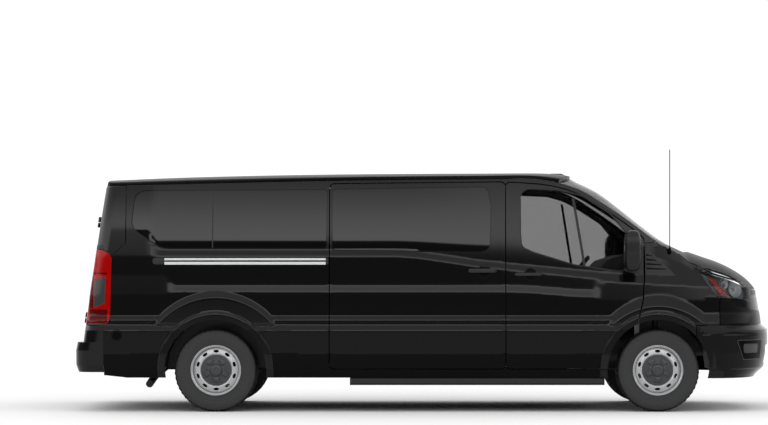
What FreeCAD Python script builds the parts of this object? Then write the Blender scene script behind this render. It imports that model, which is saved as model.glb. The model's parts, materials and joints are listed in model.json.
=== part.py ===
"""Long-wheelbase, low-roof passenger minibus, built as separate panels, doors, glass, axles and wheels.

X points forward, Y to the vehicle's left, Z up, in millimetres.
The origin is on the ground, midway between the bumpers, on the centreline.
The kerb side, with the sliding door and the step board, is the right-hand side, at negative Y.
Side pieces are drawn for the right-hand side and mirrored to the left.
"""

import FreeCAD, Part
import Sketcher
import math
import os
from types import SimpleNamespace

V = FreeCAD.Vector

# Driving dimensions, in millimetres unless a name ends in _deg or _count.
DIMENSIONS = [
    # whole vehicle
    ("body_length", 5981), ("body_width", 2060), ("wheelbase", 3750), ("front_overhang", 1023),
    ("track_width", 1732), ("roof_top_z", 2050), ("shut_gap", 7), ("fit_gap", 0.3), ("roof_seam", 4),
    # wheels and tyres
    ("tyre_radius", 352), ("tyre_width", 235), ("tread_width", 150), ("tyre_side_count", 72),
    ("rim_radius", 203),
    ("rim_width", 190), ("rim_wall", 7), ("disc_offset", 62), ("disc_thickness", 8),
    ("hand_hole_circle", 163), ("hand_hole_radius", 17), ("hand_hole_count", 10),
    ("cap_radius", 132), ("cap_depth", 26), ("hub_radius", 62),
    # heights of the creases that run along the side
    ("sill_z", 290), ("door_bottom_z", 363), ("cladding_crease_z", 500), ("cladding_shoulder_z", 690),
    ("cladding_top_z", 737), ("lower_crease_z", 795), ("lower_crease_height", 30),
    ("middle_crease_z", 1045), ("middle_crease_height", 58), ("middle_crease_fall", 45),
    ("belt_z", 1345), ("belt_height", 52),
    ("belt_drop", 105), ("belt_slope_deg", 5.6), ("side_top_z", 2010),
    # how far each crease stands in from half the body width
    ("sill_inset", 45), ("door_bottom_inset", 27), ("cladding_crease_inset", 9),
    ("cladding_shoulder_inset", 2), ("cladding_top_inset", 17), ("lower_crease_inset", 21),
    ("lower_crease_step", 8), ("middle_crease_inset", 33), ("middle_crease_step", 10),
    ("belt_inset", 48), ("belt_step", 14), ("side_top_inset", 148), ("barrel_bow", 14),
    ("front_taper", 40),
    # walls and glass
    ("wall_depth", 50), ("fender_wall", 20), ("lamp_depth", 60), ("roof_wall", 30), ("hood_wall", 18),
    ("glass_inset", 2), ("glass_thickness", 5),
    # wheel arches
    ("arch_radius", 430), ("flare_radius", 492), ("flare_proud", 1), ("bulge_radius", 690),
    ("front_bulge_crest", 545), ("rear_bulge_crest", 625), ("bulge_proud", 6), ("liner_radius", 442),
    ("liner_wall", 8), ("front_liner_inner", 540), ("rear_liner_inner", 632),
    # side doors and windows, measured from the front axle or from the floor up
    ("slide_front_setback", 1292), ("slide_length", 1495), ("door_front_setback", 118),
    ("door_top_drop", 24), ("window_low_z", 1372),
    # rear end, measured from the rear axle
    ("rear_seam_setback", 762), ("rear_face_setback", 942), ("rear_face_lean_deg", 8),
    ("rear_corner_radius", 110), ("rear_bow", 35), ("rear_door_half", 780),
    ("rear_door_bottom_z", 612), ("rear_door_top_z", 1872), ("lamp_inner_y", 895),
    ("lamp_bottom_z", 749), ("lamp_top_z", 1372), ("bumper_seam_setback", 944),
    ("rear_bumper_low_z", 337), ("rear_bumper_step_z", 592), ("rear_bumper_wall", 40),
    # front end, measured from the front axle
    ("nose_start", 382), ("nose_exponent", 2.6), ("bumper_low_z", 282), ("fascia_seam", 520),
    ("hood_edge_half", 893), ("grille_half", 470), ("grille_low_z", 790),
    ("grille_top_z", 1010), ("slat_count", 4), ("slat_gap", 28),
    # floor, chassis and running gear
    ("floor_z", 640), ("floor_thickness", 40), ("rail_spacing", 900), ("rail_width", 70),
    ("rail_height", 110), ("jack_pad_radius", 32), ("jack_pad_depth", 10),
    ("cross_width", 90), ("axle_tube_radius", 45), ("spring_y", 560),
    ("spring_width", 70), ("spring_thickness", 38), ("kingpin_y", 776), ("knuckle_radius", 42),
    ("knuckle_half_height", 118), ("arm_thickness", 26), ("brake_radius", 150),
    ("engine_length", 620), ("engine_width", 520), ("engine_height", 640), ("gearbox_radius", 130),
    # seats and cabin
    ("seat_width", 480), ("seat_depth", 480), ("cushion_height", 130), ("seat_z", 930),
    ("back_height", 640), ("back_thickness", 110), ("steering_radius", 190), ("steering_tube", 15),
    # outside fittings
    ("mirror_span", 2470), ("antenna_top_z", 2228), ("antenna_radius", 4), ("step_height", 62),
    ("step_depth", 190), ("track_rail_height", 55), ("track_rail_proud", 9), ("exhaust_radius", 32),
]

doc = FreeCAD.newDocument("minibus")
sheet = doc.addObject("Spreadsheet::Sheet", "dimensions")
for row, (alias, value) in enumerate(DIMENSIONS, 1):
    sheet.set(f"A{row}", alias)
    sheet.set(f"B{row}", str(value))
    sheet.setAlias(f"B{row}", alias)
doc.recompute()
d = SimpleNamespace(**{alias: float(sheet.get(alias)) for alias, _ in DIMENSIONS})

front_axle = d.body_length / 2 - d.front_overhang
rear_axle = front_axle - d.wheelbase
half_width = d.body_width / 2
wheel_y = d.track_width / 2
nodes = []


def front(distance):
    """X of a place ahead of the front axle."""
    return front_axle + distance


def rear(distance):
    """X of a place ahead of the rear axle."""
    return rear_axle + distance


def under_roof(drop):
    """Height of a place below the top of the roof."""
    return d.roof_top_z - drop


def clamp(value, low=0.0, high=1.0):
    return max(low, min(high, value))


def smooth(value):
    """Ease from 0 to 1 with level ends."""
    value = clamp(value)
    return value * value * (3 - 2 * value)


def curve_through(points):
    """A smooth curve through (x, z) points as a function of x, straight beyond its ends."""
    count = len(points)
    slopes = []
    for i in range(count):
        before, after = points[max(i - 1, 0)], points[min(i + 1, count - 1)]
        slopes.append((after[1] - before[1]) / (after[0] - before[0]))

    def height(x):
        if x <= points[0][0]:
            return points[0][1] + slopes[0] * (x - points[0][0])
        if x >= points[-1][0]:
            return points[-1][1] + slopes[-1] * (x - points[-1][0])
        i = max(k for k in range(count - 1) if points[k][0] <= x)
        (x0, z0), (x1, z1) = points[i], points[i + 1]
        span = x1 - x0
        u = (x - x0) / span
        return (z0 * (1 + 2 * u) * (1 - u) ** 2 + z1 * u * u * (3 - 2 * u)
                + span * slopes[i] * u * (1 - u) ** 2 - span * slopes[i + 1] * u * u * (1 - u))

    return height


def steps(low, high, count):
    """Evenly spaced values, both ends included."""
    return [low + (high - low) * i / (count - 1) for i in range(count)]


# Shape helpers

def place_point(plane, u, v, level=0.0):
    """A point of a named plane: XZ is seen from the side, YZ from the end, XY from above."""
    return {"XZ": V(u, level, v), "YZ": V(level, u, v), "XY": V(u, v, level)}[plane]


def outline(plane, points, radius=0.0, level=0.0):
    """Closed wire through 2-D points, with each corner rounded by its own or the given radius."""
    corners = []
    count = len(points)
    for i, point in enumerate(points):
        here = place_point(plane, point[0], point[1], level)
        before = place_point(plane, *points[i - 1][:2], level) - here
        after = place_point(plane, *points[(i + 1) % count][:2], level) - here
        bend = before.getAngle(after) / 2
        wanted = point[2] if len(point) > 2 else radius
        if wanted <= 0 or bend > 1.55:
            corners.append((here,))
            continue
        reach = min(wanted / math.tan(bend), 0.49 * before.Length, 0.49 * after.Length)
        before.normalize()
        after.normalize()
        inward = before + after
        inward.normalize()
        middle = here + inward * (reach / math.cos(bend) - reach * math.tan(bend))
        corners.append((here + before * reach, middle, here + after * reach))
    edges = []
    for i, corner in enumerate(corners):
        if len(corner) == 3:
            edges.append(Part.Arc(*corner).toShape())
        start, end = corner[-1], corners[(i + 1) % count][0]
        if start.distanceToPoint(end) > 1e-6:
            edges.append(Part.LineSegment(start, end).toShape())
    return Part.Wire(edges)


def prism(plane, points, low, high, radius=0.0, grow=0.0):
    """Solid of an outline, grown all round, between two levels of its plane's normal."""
    face = Part.Face(outline(plane, points, radius))
    if grow:
        face = face.makeOffset2D(grow)
    face.translate(place_point(plane, 0, 0, low))
    return face.extrude(place_point(plane, 0, 0, high - low))


def block(x0, x1, y0, y1, z0, z1):
    return Part.makeBox(x1 - x0, y1 - y0, z1 - z0, V(x0, y0, z0))


def rod(radius, start, end):
    return Part.makeCylinder(radius, (end - start).Length, start, end - start)


def mirrored(shape):
    """The same piece for the left-hand side."""
    return shape.mirror(V(0, 0, 0), V(0, 1, 0))


def both_sides(shape):
    return [shape, mirrored(shape)]


def joined(first, *others):
    shape = first.fuse(list(others))
    return shape.removeSplitter()


def biggest(shape):
    """The largest solid of a cut piece, without any crumbs."""
    return max(shape.Solids, key=lambda solid: solid.Volume)


def add_node(name, shapes, place=None):
    """Make a named sub-part of the document from one solid or from solids that do not touch."""
    if not isinstance(shapes, (list, tuple)):
        shapes = [shapes]
    solids = [solid for shape in shapes for solid in shape.Solids]
    node = doc.addObject("Part::Feature", name)
    node.Shape = solids[0] if len(solids) == 1 else Part.makeCompound(solids)
    node.Placement = FreeCAD.Placement(place or V(0, 0, 0), FreeCAD.Rotation())
    node.Label = name
    nodes.append(node)
    return node


def bound(kind, name, **expressions):
    """A primitive whose sizes follow the sheet."""
    piece = doc.addObject(kind, name)
    for prop, expression in expressions.items():
        piece.setExpression(prop.replace("_", ".") if prop.startswith("Placement") else prop, expression)
    return piece


# Body side: a slab whose outline across the vehicle has the cladding, three creases and a barrelled top

def belt_height(x):
    """Height of the belt crease, which drops ahead of the sliding door and falls on to the nose."""
    drop = d.belt_drop * smooth((x - front(-2267)) / 1000)
    slope = math.tan(math.radians(d.belt_slope_deg))
    fall = slope * max(0.0, x - front(-1367)) - 0.5 * slope * max(0.0, x - front(-367))
    return d.belt_z - drop - fall


def side_levels(x):
    """(height, half width) of each crease at a station, from the sill up."""
    belt = belt_height(x)
    taper = d.front_taper * (max(0.0, x - front(-1367)) / 1350) ** 2
    low_crease, mid_crease = d.lower_crease_height / 2, d.middle_crease_height / 2
    middle = d.middle_crease_z - d.middle_crease_fall * smooth((x - front(-1292)) / 800)
    levels = [
        (d.sill_z, d.sill_inset), (d.door_bottom_z, d.door_bottom_inset),
        (d.cladding_crease_z, d.cladding_crease_inset), (d.cladding_shoulder_z, d.cladding_shoulder_inset),
        (d.cladding_top_z, d.cladding_top_inset), (d.lower_crease_z - low_crease, d.lower_crease_inset),
        (d.lower_crease_z + low_crease, d.lower_crease_inset + d.lower_crease_step),
        (middle - mid_crease, d.middle_crease_inset),
        (middle + mid_crease, d.middle_crease_inset + d.middle_crease_step),
        (belt - d.belt_height / 2, d.belt_inset), (belt + d.belt_height / 2, d.belt_inset + d.belt_step),
        (d.side_top_z, d.side_top_inset)]
    return [(z, half_width - inset - taper * clamp((z - 1100) / 850)) for z, inset in levels]


def side_half_width(x, z):
    """Half width of the body at a station and height."""
    levels = side_levels(x)
    for (z0, w0), (z1, w1) in zip(levels, levels[1:]):
        if z <= z1 or z1 == levels[-1][0]:
            share = (z - z0) / (z1 - z0)
            bow = 4 * d.barrel_bow * share * (1 - share) if z1 == levels[-1][0] else 0.0
            return w0 + (w1 - w0) * share + bow


def side_wire(x, outer, inner):
    """Section of the side between two depths behind its outer surface."""
    def points(depth):
        return [V(x, depth - w, z) for z, w in side_levels(x)]

    outside, inside = points(outer), points(inner)
    edges = [Part.LineSegment(a, b).toShape() for a, b in zip(outside, outside[1:-1])]
    belly = (outside[-2] + outside[-1]) / 2 - V(0, d.barrel_bow, 0)
    edges.append(Part.Arc(outside[-2], belly, outside[-1]).toShape())
    edges.append(Part.LineSegment(outside[-1], inside[-1]).toShape())
    belly = (inside[-2] + inside[-1]) / 2 - V(0, d.barrel_bow, 0)
    edges.append(Part.Arc(inside[-1], belly, inside[-2]).toShape())
    edges += [Part.LineSegment(b, a).toShape() for a, b in reversed(list(zip(inside, inside[1:-1])))]
    edges.append(Part.LineSegment(inside[0], outside[0]).toShape())
    return Part.Wire(edges)


side_rear = rear(-d.rear_seam_setback)
side_front = front(60)
SIDE_STATIONS = 17


def side_slab(outer, inner):
    stations = steps(side_rear, side_front, SIDE_STATIONS)
    return Part.makeLoft([side_wire(x, outer, inner) for x in stations], True, False)


# The seam between the side and the roof, which runs down the windscreen pillar
gutter = curve_through([
    (rear(-1007), under_roof(132)), (rear(-747), under_roof(128)), (rear(962), under_roof(90)),
    (front(-1337), under_roof(74)), (front(-1117), under_roof(73)), (front(-942), under_roof(90)),
    (front(-795), under_roof(120)), (front(-647), under_roof(173)), (front(-452), under_roof(291)),
    (front(-305), under_roof(389)), (front(-158), under_roof(497)), (front(-11), under_roof(609))])

# The roof's and the windscreen's line on the centre plane
roof_line = curve_through([
    (rear(-987), under_roof(66)), (rear(-236), under_roof(34)), (rear(924), under_roof(10)),
    (front(-1318), under_roof(1)), (front(-886), under_roof(2)), (front(-768), under_roof(20)),
    (front(-695), under_roof(42))])
screen_line = [
    (front(-695), under_roof(42)), (front(-426), under_roof(185)), (front(-204), under_roof(358)),
    (front(50), under_roof(556)), (front(206), under_roof(650))]
hood_line = curve_through([
    (front(150), 1408), (front(323), 1365), (front(429), 1329), (front(587), 1273), (front(745), 1193),
    (front(840), 1123), (front(899), 1054), (front(915), 1025)])

door_line = front(-d.slide_front_setback)
slide_rear_line = door_line - d.slide_length
door_front_line = front(-d.door_front_setback)


def gutter_points(x0, x1, count, drop=0.0):
    """Points along the seam, lowered square to it."""
    points = []
    for x in steps(x0, x1, count):
        slope = (gutter(x + 5) - gutter(x - 5)) / 10
        length = math.hypot(slope, 1)
        points.append((x + drop * slope / length, gutter(x) - drop / length))
    return points


# Door outlines seen from the side
slide_door_outline = [
    (slide_rear_line, d.door_bottom_z), (door_line, d.door_bottom_z),
    (door_line, gutter(door_line) - d.door_top_drop),
    (slide_rear_line, gutter(slide_rear_line) - d.door_top_drop)]
front_door_top = gutter_points(front(-1000), front(-150), 8, d.door_top_drop + 10)
front_door_outline = (
    [(door_line, d.door_bottom_z), (front(-300), d.door_bottom_z), (front(-173), 560),
      (front(-173), 762, 200), (front(-128), 960, 200), (door_front_line, 1140, 200),
     (door_front_line, 1468, 25)]
    + [(x, z, 500) for x, z in reversed(front_door_top)]
    + [(door_line, gutter(door_line) - d.door_top_drop)])


# Windows seen from the side: the glass fills each outline
window_top = under_roof(143)
slide_window_outline = [
    (slide_rear_line + 25, d.window_low_z, 20), (front(-1500), d.window_low_z - 18, 60),
    (front(-1425), d.window_low_z + 10, 60), (front(-1418), window_top - 150, 200),
    (front(-1445), window_top, 60), (slide_rear_line + 25, window_top - 22, 20)]
rear_window_outline = [
    (rear(-614), window_top - 33, 50), (rear(-680), window_top - 67, 50), (rear(-695), 1769, 60),
    (rear(-711), 1595, 60), (rear(-679), 1531, 60), (rear(-559), 1454, 60), (rear(-478), 1401, 60),
    (rear(-408), d.window_low_z + 14, 60), (slide_rear_line - 25, d.window_low_z + 14, 20),
    (slide_rear_line - 25, window_top - 24, 20)]
front_window_outline = [
    (front(-1165), 1500, 200), (front(-1155), 1400, 60), (front(-1060), 1355, 100),
    (front(-700), 1245, 400), (front(-290), 1188, 60), (front(-225), 1330, 60),
    (front(-222), under_roof(590), 40),
    (front(-400), under_roof(370), 200), (front(-640), under_roof(215), 200),
    (front(-850), under_roof(165), 200), (front(-1110), under_roof(155), 60),
    (front(-1165), under_roof(200), 60)]

SIDE_CUT = (-1200, -700)


def side_prism(points, radius=0.0, grow=0.0):
    return prism("XZ", points, *SIDE_CUT, radius, grow)


def arch_cut(axle_x, radius):
    return rod(radius, V(axle_x, SIDE_CUT[0], d.tyre_radius), V(axle_x, -0.62 * half_width, d.tyre_radius))


def arch_dress(axle_x, crest):
    """The swelling over a wheel and the flare round its opening, before the opening is cut."""
    skin = side_half_width(axle_x, d.middle_crease_z)
    base, top = skin - d.fender_wall + 4, half_width - d.bulge_proud
    foot = V(axle_x, -base, d.tyre_radius)
    swelling = Part.makeCone(d.bulge_radius, crest, top - base, foot, V(0, -1, 0))
    swelling = swelling.common(block(axle_x - 900, axle_x + 900, *SIDE_CUT, d.cladding_top_z, 1300))
    rim = side_half_width(axle_x, d.door_bottom_z) - d.fender_wall + 4
    lip_y = d.flare_proud - half_width
    flare = rod(d.flare_radius, V(axle_x, -rim, d.tyre_radius), V(axle_x, lip_y, d.tyre_radius))
    flare = flare.common(block(axle_x - 900, axle_x + 900, *SIDE_CUT, d.door_bottom_z, 1300))
    return [swelling, flare]


# Right-hand side wall with its arches, from which the fixed side and the doors are cut
side_wall = side_slab(0, d.wall_depth)
front_dress = arch_dress(front_axle, d.front_bulge_crest)
side_wall = side_wall.fuse(front_dress + arch_dress(rear_axle, d.rear_bulge_crest))
side_wall = side_wall.cut([arch_cut(front_axle, d.arch_radius), arch_cut(rear_axle, d.arch_radius)])
pane_slab = side_slab(d.glass_inset, d.glass_inset + d.glass_thickness)

half_gap = d.shut_gap / 2


def pane(points):
    """A window's glass, a fit gap smaller than its opening."""
    return biggest(pane_slab.common(side_prism(points, 0, -d.fit_gap)))


def door_shell(points, window):
    shell = side_wall.common(side_prism(points, 40, -half_gap))
    return biggest(shell.cut(side_prism(window)))


sliding_door = door_shell(slide_door_outline, slide_window_outline)
front_door = door_shell(front_door_outline, front_window_outline)


# Rear end: a wall that turns the corners, sectioned level by level, half of it at a time

def rear_face(z):
    """X of the rear face beside the doors at a height."""
    lean = math.tan(math.radians(d.rear_face_lean_deg))
    return rear(-d.rear_face_setback) - (under_roof(123) - z) * lean


def rear_wire(z, outer, inner):
    """Section of the right-hand half of the rear wall at a height, between two depths."""
    width, face = side_half_width(side_rear, z), rear_face(z)

    def curve(depth):
        turn = d.rear_corner_radius - depth
        centre = V(face + d.rear_corner_radius, d.rear_corner_radius - width, z)
        flank = centre + V(0, -turn, 0)
        back = centre + V(-turn, 0, 0)
        mid = centre + V(-turn, -turn, 0) * math.sqrt(0.5)
        end = V(face - d.rear_bow + depth, 0, z)
        bow = V(face - 0.75 * d.rear_bow + depth, back.y / 2, z)
        return (V(side_rear, depth - width, z), flank, mid, back, bow, end)

    a, b = curve(outer), curve(inner)
    return Part.Wire([
        Part.LineSegment(a[0], a[1]).toShape(), Part.Arc(a[1], a[2], a[3]).toShape(),
        Part.Arc(a[3], a[4], a[5]).toShape(), Part.LineSegment(a[5], b[5]).toShape(),
        Part.Arc(b[5], b[4], b[3]).toShape(), Part.Arc(b[3], b[2], b[1]).toShape(),
        Part.LineSegment(b[1], b[0]).toShape(), Part.LineSegment(b[0], a[0]).toShape()])


rear_wall_top = gutter(rear(-d.rear_face_setback - d.rear_bow))
rear_wall_bottom = 310


def rear_slab(outer, inner):
    heights = [z for z, _ in side_levels(side_rear)][2:-1]
    heights = [rear_wall_bottom, d.door_bottom_z] + heights + steps(heights[-1], rear_wall_top, 4)[1:]
    return Part.makeLoft([rear_wire(z, outer, inner) for z in heights], True, True)


rear_wall = rear_slab(0, d.wall_depth)
side_tail_outline = [
    (side_rear + 1, rear_wall_bottom), (side_rear + 1, under_roof(620)),
    (rear(-868), under_roof(714)), (rear(-880), d.lamp_top_z - 40), (rear(-890), d.lamp_bottom_z),
    (rear(-d.bumper_seam_setback), d.lamp_bottom_z),
    (rear(-d.bumper_seam_setback), rear_wall_bottom)]
lamp_outline = [
    (rear(-1100), d.lamp_bottom_z), (rear(-914), d.lamp_bottom_z, 20),
    (rear(-892), d.lamp_bottom_z + 40, 40), (rear(-881), 1300, 60), (rear(-905), 1348, 60),
    (rear(-962), d.lamp_top_z), (rear(-1100), d.lamp_top_z)]
door_edge = d.rear_door_half + half_gap
corner_block = block(rear(-1400), side_rear + 2, -1200, -door_edge, rear_wall_bottom, 2100)
lamp_block = block(rear(-1400), side_rear, -1200, -d.lamp_inner_y, 300, 1500)
lamp_zone = prism("XZ", lamp_outline, -1200, -d.lamp_inner_y, 0)
tail_zone = prism("XZ", side_tail_outline, -1200, -700)
corner = rear_wall.common(corner_block)
tail_lamp = biggest(rear_slab(-3, d.lamp_depth).common(lamp_zone.common(lamp_block)))
lamp_hole = prism("XZ", lamp_outline, -1200, -d.lamp_inner_y + d.fit_gap, 0, d.fit_gap)
side_tail = biggest(corner.common(tail_zone).cut(lamp_hole))
bumper_zone = block(rear(-1400), rear(-d.bumper_seam_setback), -1200, 0, 0, d.cladding_top_z)
corner_post = corner.cut([prism("XZ", side_tail_outline, -1200, -700, 0, d.shut_gap / 2), lamp_hole,
                          bumper_zone, block(side_rear - 4, side_rear + 4, -1200, 0, 0, 2100)])
corner_post = biggest(corner_post)

# Rear doors open from the centre, with the right-hand leaf over the middle
rear_door_outline = [
    (-d.rear_door_half, d.rear_door_bottom_z, 45), (-half_gap, d.rear_door_bottom_z),
    (-half_gap, d.rear_door_top_z), (-d.rear_door_half + 40, d.rear_door_top_z, 90)]
rear_glass_outline = [
    (-655, 1395, 50), (-95, 1395, 50), (-95, under_roof(255), 50), (-640, under_roof(255), 50)]
rear_span = (rear(-1400), rear(-760))
rear_door = biggest(rear_wall.common(prism("YZ", rear_door_outline, *rear_span)))
rear_door = biggest(rear_door.cut(prism("YZ", rear_glass_outline, *rear_span)))
rear_glass = biggest(rear_slab(d.glass_inset, d.glass_inset + d.glass_thickness).common(
    prism("YZ", rear_glass_outline, *rear_span, 0, -d.fit_gap)))
header_block = block(rear(-1400), side_rear, half_gap - d.rear_door_half, 0,
                     d.rear_door_top_z + d.shut_gap, 2100)
header = biggest(rear_wall.common(header_block))

# Rear door hinges: a barrel on each leaf turns above one on the corner, on a line that leans with the doors
hinge_setback, hinge_radius, hinge_length, hinge_gap = 20, 10, 45, 5
hinge_root, hinge_strap = hinge_setback + 8, 9
hinge_y = -d.rear_door_half - 10
hinge_line = V(math.tan(math.radians(d.rear_face_lean_deg)), 0, 1)


def rear_hinge_point(z):
    return V(rear_face(z) - hinge_setback, hinge_y, z)


def hinge_web(z0, z1, y0, y1, reach):
    """A flat arm that runs ahead from the hinge line."""
    low, high = rear_hinge_point(z0), rear_hinge_point(z1)
    return prism("XZ", [(low.x, z0), (low.x + reach, z0), (high.x + reach, z1), (high.x, z1)], y0, y1)


def hinge_barrel(z0, z1):
    low, high = rear_hinge_point(z0), rear_hinge_point(z1)
    ends = block(low.x - 100, high.x + 100, hinge_y - 60, hinge_y + 60, z0, z1)
    return rod(hinge_radius, low - hinge_line * 20, high + hinge_line * 20).common(ends)


for z in (d.cladding_top_z + 60, under_roof(440)):
    low, high = z - hinge_length, z - hinge_gap
    corner_web = hinge_web(low, high, hinge_y - 32, hinge_y, hinge_root)
    corner_post = corner_post.fuse([hinge_barrel(low, high), corner_web])
    low, high = z, z + hinge_length
    door_arm = hinge_web(low, high, hinge_y, hinge_y + 44, hinge_strap)
    door_web = hinge_web(low, high, hinge_y + 12, hinge_y + 44, hinge_root)
    rear_door = rear_door.fuse([hinge_barrel(low, high), door_arm, door_web])
corner_post, rear_door = biggest(corner_post), biggest(rear_door)


# Fixed side: everything that the doors leave, with a post between them and the tail behind
gutter_line = Part.BSplineCurve()
gutter_line.interpolate([V(x, SIDE_CUT[0], gutter(x)) for x in steps(rear(-1000), front(80), 36)])
gutter_ends = [gutter_line.StartPoint, gutter_line.EndPoint]
above = [V(point.x, point.y, 1.2 * d.roof_top_z) for point in gutter_ends]
above_gutter = Part.Face(Part.Wire([
    gutter_line.toShape(), Part.LineSegment(gutter_ends[1], above[1]).toShape(),
    Part.LineSegment(above[1], above[0]).toShape(),
    Part.LineSegment(above[0], gutter_ends[0]).toShape()]))
above_gutter = above_gutter.extrude(V(0, SIDE_CUT[1] - SIDE_CUT[0], 0))

pillar_base = under_roof(620)
side_frame_outline = [
    (side_rear - 1, d.sill_z), (front(-250), d.sill_z), (front(-250), pillar_base),
    (front(-11), pillar_base + 11), (front(-11), 1.2 * d.roof_top_z), (side_rear - 1, 1.2 * d.roof_top_z)]
side_frame = side_wall.common(side_prism(side_frame_outline)).cut(
    [above_gutter, side_prism(slide_door_outline, 40, half_gap), side_prism(front_door_outline, 40, half_gap),
     side_prism(rear_window_outline)])
side_panel = biggest(biggest(side_frame).fuse(side_tail))
side_glass = pane(rear_window_outline)


# Post between the side doors, from the floor to the top of the side
def inner_face(x, z):
    """Y of the inner face of the right-hand side wall."""
    return d.wall_depth - side_half_width(x, z)


post_depth, post_half, post_clearance = 55, 45, 16
post_top = gutter(door_line) - d.fit_gap
post_neck = gutter(door_line) - d.door_top_drop - 6
low_y, neck_y = [inner_face(door_line, z) + post_clearance for z in (d.floor_z, post_neck)]
door_posts = prism("YZ", [
    (low_y, d.floor_z + d.fit_gap), (neck_y, post_neck), (neck_y, post_top - 20),
    (neck_y + post_depth, post_top - 20), (neck_y + post_depth, post_neck),
    (low_y + post_depth, d.floor_z + d.fit_gap)],
    door_line - post_half, door_line + post_half)

striker_z, striker_radius = 1000, 7
striker_x = door_line + 25
striker_tip = V(striker_x, inner_face(striker_x, striker_z) + d.fit_gap, striker_z)
striker = rod(striker_radius, striker_tip, V(striker_x, low_y + 30, striker_z))
door_posts = biggest(door_posts.fuse(striker))

# Roof: a crowned shell that closes over the rear wall and ends at the windscreen
screen_top_side, screen_top_centre = front(-834), front(-695)
ROOF_POWER = 2.3


def roof_wire(x, inset):
    """Section of the roof above its seam, full width."""
    half = side_half_width(x, gutter(x)) - inset
    base, top = gutter(x) + d.roof_seam - inset / 3, roof_line(x) - inset
    arc = []
    for angle in steps(0, 180, 15):
        turn = math.radians(angle)
        reach = abs(math.cos(turn)) ** (2 / ROOF_POWER)
        rise = math.sin(turn) ** (2 / ROOF_POWER) if 0 < angle < 180 else 0.0
        arc.append(V(x, math.copysign(half * reach, -math.cos(turn)), base + (top - base) * rise))
    crown = Part.BSplineCurve()
    crown.interpolate(arc)
    return Part.Wire([crown.toShape(), Part.LineSegment(arc[-1], arc[0]).toShape()])


def plan_wire(z, inset):
    """Outline from above of the body's tail, drawn in from the rear wall's top."""
    width, face = side_half_width(side_rear, rear_wall_top) - inset, rear_face(rear_wall_top) + inset
    turn = d.rear_corner_radius
    far = front(-400)
    diagonal = turn * math.sqrt(0.5)
    sides = []
    for sign in (-1, 1):
        middle = V(face + turn - diagonal, sign * (width - turn + diagonal), z)
        sides.append((V(face + turn, sign * width, z), middle, V(face, sign * (width - turn), z)))
    right, left = sides
    return Part.Wire([
        Part.LineSegment(V(far, -width, z), right[0]).toShape(), Part.Arc(*right).toShape(),
        Part.Arc(right[2], V(face - d.rear_bow, 0, z), left[2]).toShape(),
        Part.Arc(*reversed(left)).toShape(),
        Part.LineSegment(left[0], V(far, width, z)).toShape(),
        Part.LineSegment(V(far, width, z), V(far, -width, z)).toShape()])


def roof_solid(inset):
    loft = Part.makeLoft([roof_wire(x, inset) for x in steps(rear(-1010), front(-600), 16)], True, False)
    levels = [(-160, -2), (-100, 8), (-68, 26), (-46, 52), (-10, 95)]
    tail = Part.makeLoft([plan_wire(d.roof_top_z + z, draw + inset) for z, draw in levels], True, True)
    return loft.common(tail)


def screen_arc_x(y, setback=0.0):
    """X of the windscreen's top edge at a distance from the centreline."""
    return screen_top_centre - setback - (screen_top_centre - screen_top_side) * (y / 890) ** 2


front_edge = [(screen_arc_x(y, 2), y, 600) for y in steps(-1000, 1000, 9)]
roof_plan = front_edge + [(rear(-1300), 1000), (rear(-1300), -1000)]
roof_plan = prism("XY", roof_plan, under_roof(300), under_roof(-100))
roof_panel = biggest(roof_solid(0).cut(roof_solid(d.roof_wall)).common(roof_plan))

# Windscreen: arcs from pillar to pillar, given its thickness
screen_curve = curve_through(screen_line)


def screen_arc(share):
    side_x = screen_top_side + 3 + (front(-11) - screen_top_side - 3) * share
    centre_x = screen_top_centre + 3 + (screen_line[-1][0] - screen_top_centre - 3) * share
    side_y = side_half_width(side_x, gutter(side_x)) - d.wall_depth - d.fit_gap
    ends = [V(side_x, sign * side_y, gutter(side_x)) for sign in (-1, 1)]
    return Part.Wire([Part.Arc(ends[0], V(centre_x, 0, screen_curve(centre_x)), ends[1]).toShape()])


screen_skin = Part.makeLoft([screen_arc(share) for share in steps(0, 1, 8)], False, False)
screen_inward = V(-0.6, 0, -0.8) * (d.glass_thickness + 1)
windscreen = biggest(screen_skin.Faces[0].extrude(screen_inward))


# Hood surface: a falling centre line, crowned more towards the nose
HOOD_CROWN, HOOD_CROWN_HALF = 115, 872


def hood_height(x, y):
    """Height of the hood's surface."""
    nose = 1 + 1.2 * smooth((x - front(632)) / 330)
    cowl = 1 - 0.45 * smooth((front(290) - x) / 115)
    return hood_line(x) - HOOD_CROWN * nose * cowl * (abs(y) / HOOD_CROWN_HALF) ** 3


def hood_curve(x, drop):
    rows = [V(x, y, hood_height(x, y) - drop) for y in steps(-960, 960, 13)]
    crown = Part.BSplineCurve()
    crown.interpolate(rows)
    return crown.toShape(), rows[0], rows[-1]


def hood_section(x, outer, inner):
    top, top_start, top_end = hood_curve(x, outer)
    under, under_start, under_end = hood_curve(x, inner)
    return Part.Wire([top, Part.LineSegment(top_end, under_end).toShape(), under,
                      Part.LineSegment(under_start, top_start).toShape()])


def hood_slab(outer, inner):
    stations = steps(front(90), front(915), 12)
    return Part.makeLoft([hood_section(x, outer, inner) for x in stations], True, False)


# Front of the body: fenders that follow the side, then a nose that turns in plan
nose_start = front(d.nose_start)
hood_rear_side, hood_rear_centre = front(176), front(323)
fender_rear = door_front_line + d.shut_gap
hood_side_half = curve_through([
    (fender_rear, 934), (front(-11), 912), (front(80), 878), (hood_rear_side, 845), (front(293), 872),
    (nose_start, d.hood_edge_half)])
fender_crest = curve_through([
    (fender_rear, pillar_base - 6), (front(-11), pillar_base - 8), (front(80), 1394), (hood_rear_side, 1350)])


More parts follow.
